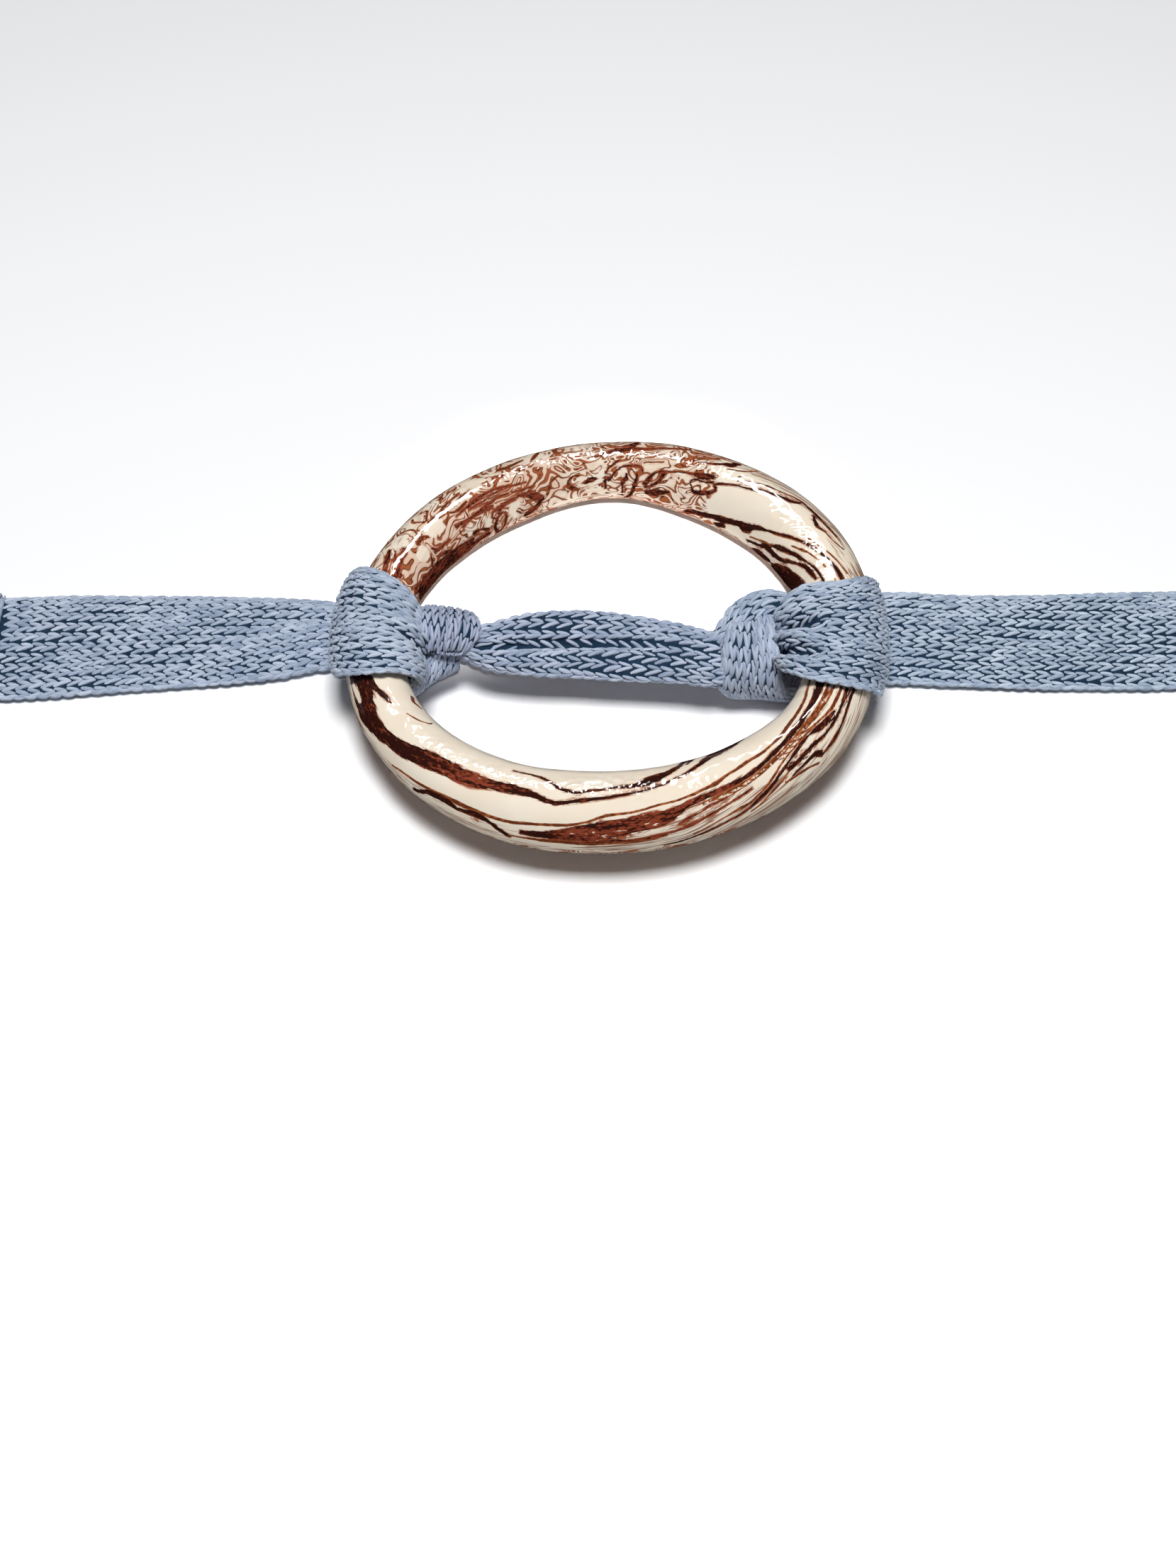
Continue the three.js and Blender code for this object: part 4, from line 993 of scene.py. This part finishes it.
def legPiece(name, parts, material):
    centre, side, up, wide, high, lengths, tone, tint = (np.concatenate(part) for part in zip(*parts))
    count, stations = centre.shape[:2]
    angles = np.radians(yarn["angles"])
    sides, inner = len(angles), stations - 2
    rings = (centre[:, 1:-1, None]
             + side[:, 1:-1, None] * (wide[:, 1:-1, None] * np.cos(angles))[..., None]
             + up[:, 1:-1, None] * (high[:, 1:-1, None] * np.sin(angles))[..., None])
    points = np.concatenate([centre[:, :1], rings.reshape(count, -1, 3), centre[:, -1:]], 1)
    each = points.shape[1]
    points = points.reshape(-1, 3)
    # yarn that would touch the glaze is pushed out of it
    apart, away, reach = glazeDistance(points)
    close = apart < strap["clearance"]
    push = (away - apart + strap["clearance"]) / np.maximum(away, 0.1)
    radius = np.hypot(points[:, 0], points[:, 1])
    newRadius = reach + (radius - reach) * push
    points[close, :2] *= (newRadius / radius)[close, None]
    points[close, 2] = (view["ringHeight"] + (points[:, 2] - view["ringHeight"]) * push)[close]
    points[:, 2] = np.maximum(points[:, 2], strap["lifts"][1])

    a = np.arange(sides)
    b = (a + 1) % sides
    tip = each - 1
    last = 1 + (inner - 1) * sides
    fans = [np.stack([0 * a, 1 + b, 1 + a], 1), np.stack([0 * a + tip, last + a, last + b], 1)]
    firsts = [1 + step * sides for step in range(inner - 1)]
    quads = [np.stack([first + a, first + b, first + sides + b, first + sides + a], 1) for first in firsts]
    corners = np.concatenate([face.ravel() for face in fans + quads])
    starts = np.concatenate([np.arange(2 * sides) * 3, 6 * sides + np.arange((inner - 1) * sides) * 4])
    # round the leg on the map from 0 to 1, and along it in millimetres
    turns = np.append(angles, wholeTurn) / wholeTurn
    here, after = turns[:-1], turns[1:]
    shares = yarn["shares"]
    fanRound = [np.stack([here + 0.05, after, here], 1), np.stack([here + 0.05, here, after], 1)]
    fanAlong = [np.tile([point, rim, rim], (sides, 1)) for point, rim in (shares[:2], shares[:-3:-1])]
    quadRound = [np.stack([here, after, after, here], 1) for _ in quads]
    quadAlong = [np.tile([low, low, high, high], (sides, 1)) for low, high in zip(shares[1:-2], shares[2:-1])]
    around = np.concatenate([part.ravel() for part in fanRound + quadRound])
    along = np.concatenate([part.ravel() for part in fanAlong + quadAlong])

    shift = np.arange(count)[:, None]
    piece = newPiece(name, points, (corners + shift * each).ravel(), (starts + shift * len(corners)).ravel())
    mesh = piece.data
    chart = mesh.uv_layers.new(name="yarn")
    placed = np.stack([along * lengths[:, None], np.broadcast_to(around, (count, len(around)))], -1)
    chart.data.foreach_set("uv", placed.ravel().astype(np.float32))
    for attribute, values in (("tone", tone), ("tint", tint)):
        keepNumbers(mesh, attribute, np.repeat(values, each))
    mesh.materials.append(material)
    return piece


def makeStitches():
    random = np.random.default_rng(strap["seed"])
    trees = []
    for band in bands:
        points, corners, starts = groundBand(band)
        faces = np.split(corners, starts[1:])
        trees.append(BVHTree.FromPolygons(
            [Vector(point) for point in points], [list(map(int, face)) for face in faces]))
    gathered = {}
    for band, tree in zip(bands, trees):
        legs = bandLegs(band, random)
        gone = hiddenLegs(legs[0][:, 3], [other for other in trees if other is not tree])
        legs = [part[~gone] for part in legs]
        legs.append(np.full(len(legs[0]), band["tint"]))
        gathered.setdefault(band["name"], []).append(legs)
    material = yarnFinish()
    pieces = [legPiece(name, parts, material) for name, parts in gathered.items()]
    for piece in pieces:
        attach(piece, "root")
    return pieces


knit = {
    # the first two colours are painted shade: the ground under the stitches is coloured as the dark of the
    # gaps between them
    "gapShade": paint(14, 30, 46),
    "deep": paint(40, 62, 86),
    "low": paint(114, 133, 159),
    "light": paint(199, 211, 226),
    "violet": paint(180, 182, 208),
    # patterns for each metre, or for each millimetre of yarn
    "groundPatches": 900.0,
    "patches": 120.0,
    "fuzz": 4200.0,
    "plies": 9.0,
    "plyTwist": 0.12,
    "reliefs": (0.0002, 0.0001),  # of the ground and the yarn, in metres
    "groundRoughness": 0.95,
    "roughness": 0.85,
    "sheen": 0.25,
    "sheenRoughness": 0.4,
    "mirror": 0.25,
}


def groundShadeFinish():
    # painted shade: the ground shows only between the stitches and is coloured as the dark gaps there, patchy
    # at random
    finish = Finish("knit_ground")
    place = finish.add("TexCoord", output="Object")
    patchy = finish.cloud(place, knit["groundPatches"], 2.0)
    colour = finish.blend(patchy, knit["gapShade"], knit["deep"])
    bump = finish.add("Bump", inputs={"Strength": 0.5, "Distance": knit["reliefs"][0], "Height": patchy})
    return finish.surface({"Base Color": colour, "Roughness": knit["groundRoughness"], "Normal": bump})


def yarnFinish():
    finish = Finish("knitted_yarn")
    chart = finish.add("UVMap", {"uv_map": "yarn"})
    along, around, _ = finish.split(chart)
    tone = finish.attribute("tone", "Fac")
    twisted = (around + along * knit["plyTwist"]) * knit["plies"]
    strands = finish.add("CombineXYZ", inputs={0: along * 0.35, 1: twisted, 2: tone * 60.0})
    plies = finish.cloud(strands, 1.0, 1.0)
    place = finish.add("TexCoord", output="Object")
    patchy = finish.cloud(place, knit["patches"], 2.0)
    fuzzy = finish.cloud(place, knit["fuzz"], 2.0)
    tint = finish.attribute("tint", "Fac")
    # the ply pattern also drives the bump, so its share of the lightness is painted shade in the grooves
    # between plies and painted highlight on their ridges; the rest is tone that differs at random
    lightness = tone * 0.35 + patchy * 0.4 + fuzzy * 0.25 + plies * 0.7 - 0.3
    light = finish.blend(tint * 0.7, knit["light"], knit["violet"])
    colour = finish.blend(finish.rise(lightness, 0.0, 1.0), knit["low"], light)
    height = plies * 1.6 + fuzzy
    bump = finish.add("Bump", inputs={"Strength": 0.8, "Distance": knit["reliefs"][1], "Height": height})
    return finish.surface({
        "Base Color": colour,
        "Roughness": knit["roughness"],
        "Normal": bump,
        "Sheen Weight": knit["sheen"],
        "Sheen Roughness": knit["sheenRoughness"],
        "Specular IOR Level": knit["mirror"],
    })


# The table and the light

table = {
    "size": 6.0,
    "colour": (0.95, 0.955, 0.965, 1.0),
    "roughness": 0.28,
    "patches": 14.0,  # for each metre
    "surround": 0.06,
    "surroundColour": (0.97, 0.985, 1.0, 1.0),
    # from the belt's middle: compass angle from the far side and height, in degrees, then metres away,
    # width, height, power, whether it lights things and whether the glaze mirrors it
    "lamps": [
        ("far_window", -5, 57, 0.41, 0.11, 0.05, 5.0, False, True),
        ("side_window", -36, 52, 0.9, 0.3, 0.025, 5.0, False, True),
        ("window_edge", 4, 57, 0.9, 0.012, 0.6, 8.0, False, True),
        ("overhead", 180, 78, 0.9, 0.26, 0.26, 9.1, True, False),
    ],
    # spots on the table alone, which lighten the hole's far part: where they are aimed, power and cone
    "spots": [(0, 40, 14.0, 0.1), (-15, 37, 14.0, 0.1), (15, 37, 14.0, 0.1), (-27, 29, 14.0, 0.09),
              (27, 29, 14.0, 0.09), (-35, 20, 12.0, 0.07), (34, 21, 9.0, 0.06)],
    "spotsFrom": (0.0, -0.3, 0.4),
    "spotSize": 0.006,
}


def makeTable():
    bpy.ops.object.select_all(action="DESELECT")
    bpy.ops.mesh.primitive_plane_add(size=table["size"])
    top = bpy.context.object
    top.name = "table_top"
    finish = Finish("pale_table")
    place = finish.add("TexCoord", output="Object")
    roughness = finish.cloud(place, table["patches"], 2.0) * 0.04 + table["roughness"]
    top.data.materials.append(finish.surface({"Base Color": table["colour"], "Roughness": roughness}))
    # the glaze mirrors the windows alone
    top.visible_glossy = False
    return top


def receiversOf(name, receiver):
    # a collection for a lamp that falls on one thing alone
    receivers = bpy.data.collections.new(name)
    receivers.objects.link(receiver)
    return receivers


def placeLamps(clayRing, top):
    surround = bpy.data.worlds.new("surround")
    surround.use_nodes = True
    background = surround.node_tree.nodes["Background"]
    background.inputs["Color"].default_value = table["surroundColour"]
    background.inputs["Strength"].default_value = table["surround"]
    bpy.context.scene.world = surround
    surround.cycles_visibility.glossy = False
    glazeOnly = receiversOf("glaze_only", clayRing)
    tableOnly = receiversOf("table_only", top)
    for name, turn, height, away, wide, high, power, lights, mirrored in table["lamps"]:
        lamp = bpy.data.lights.new(name, "AREA")
        lamp.shape = "RECTANGLE"
        lamp.size, lamp.size_y, lamp.energy = wide, high, power
        holder = bpy.data.objects.new(name, lamp)
        bpy.context.collection.objects.link(holder)
        turn, height = math.radians(turn), math.radians(height)
        flat = math.cos(height)
        direction = Vector((math.sin(turn) * flat, math.cos(turn) * flat, math.sin(height)))
        holder.location = direction * away
        holder.rotation_euler = direction.to_track_quat("Z", "Y").to_euler()
        holder.visible_diffuse = lights
        holder.visible_glossy = mirrored
        if mirrored:
            holder.light_linking.receiver_collection = glazeOnly
    for number, (x, y, power, cone) in enumerate(table["spots"]):
        spot = bpy.data.lights.new(f"hole_spot_{number}", "SPOT")
        spot.energy, spot.spot_size, spot.spot_blend = power, cone, 1.0
        spot.shadow_soft_size = table["spotSize"]
        holder = bpy.data.objects.new(spot.name, spot)
        bpy.context.collection.objects.link(holder)
        holder.location = table["spotsFrom"]
        aim = Vector((x, y, 0)) * millimetre
        holder.rotation_euler = (aim - holder.location).to_track_quat("-Z", "Y").to_euler()
        holder.visible_glossy = False
        holder.light_linking.receiver_collection = tableOnly
    bpy.context.scene.view_settings.view_transform = "Standard"


placeCamera()
print("camera placed")
tableTop = makeTable()
clayRing = makeRing()
print("ring shaped and marbled:", len(clayRing.data.polygons), "faces")
placeLamps(clayRing, tableTop)
print("table and lamps placed")
ground = makeGround()
print("strap's ground joined:", len(ground.data.polygons), "faces")
stitches = makeStitches()
print("stitches laid:", sum(len(piece.data.polygons) for piece in stitches), "faces")
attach(ground, "root")
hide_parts("strap")
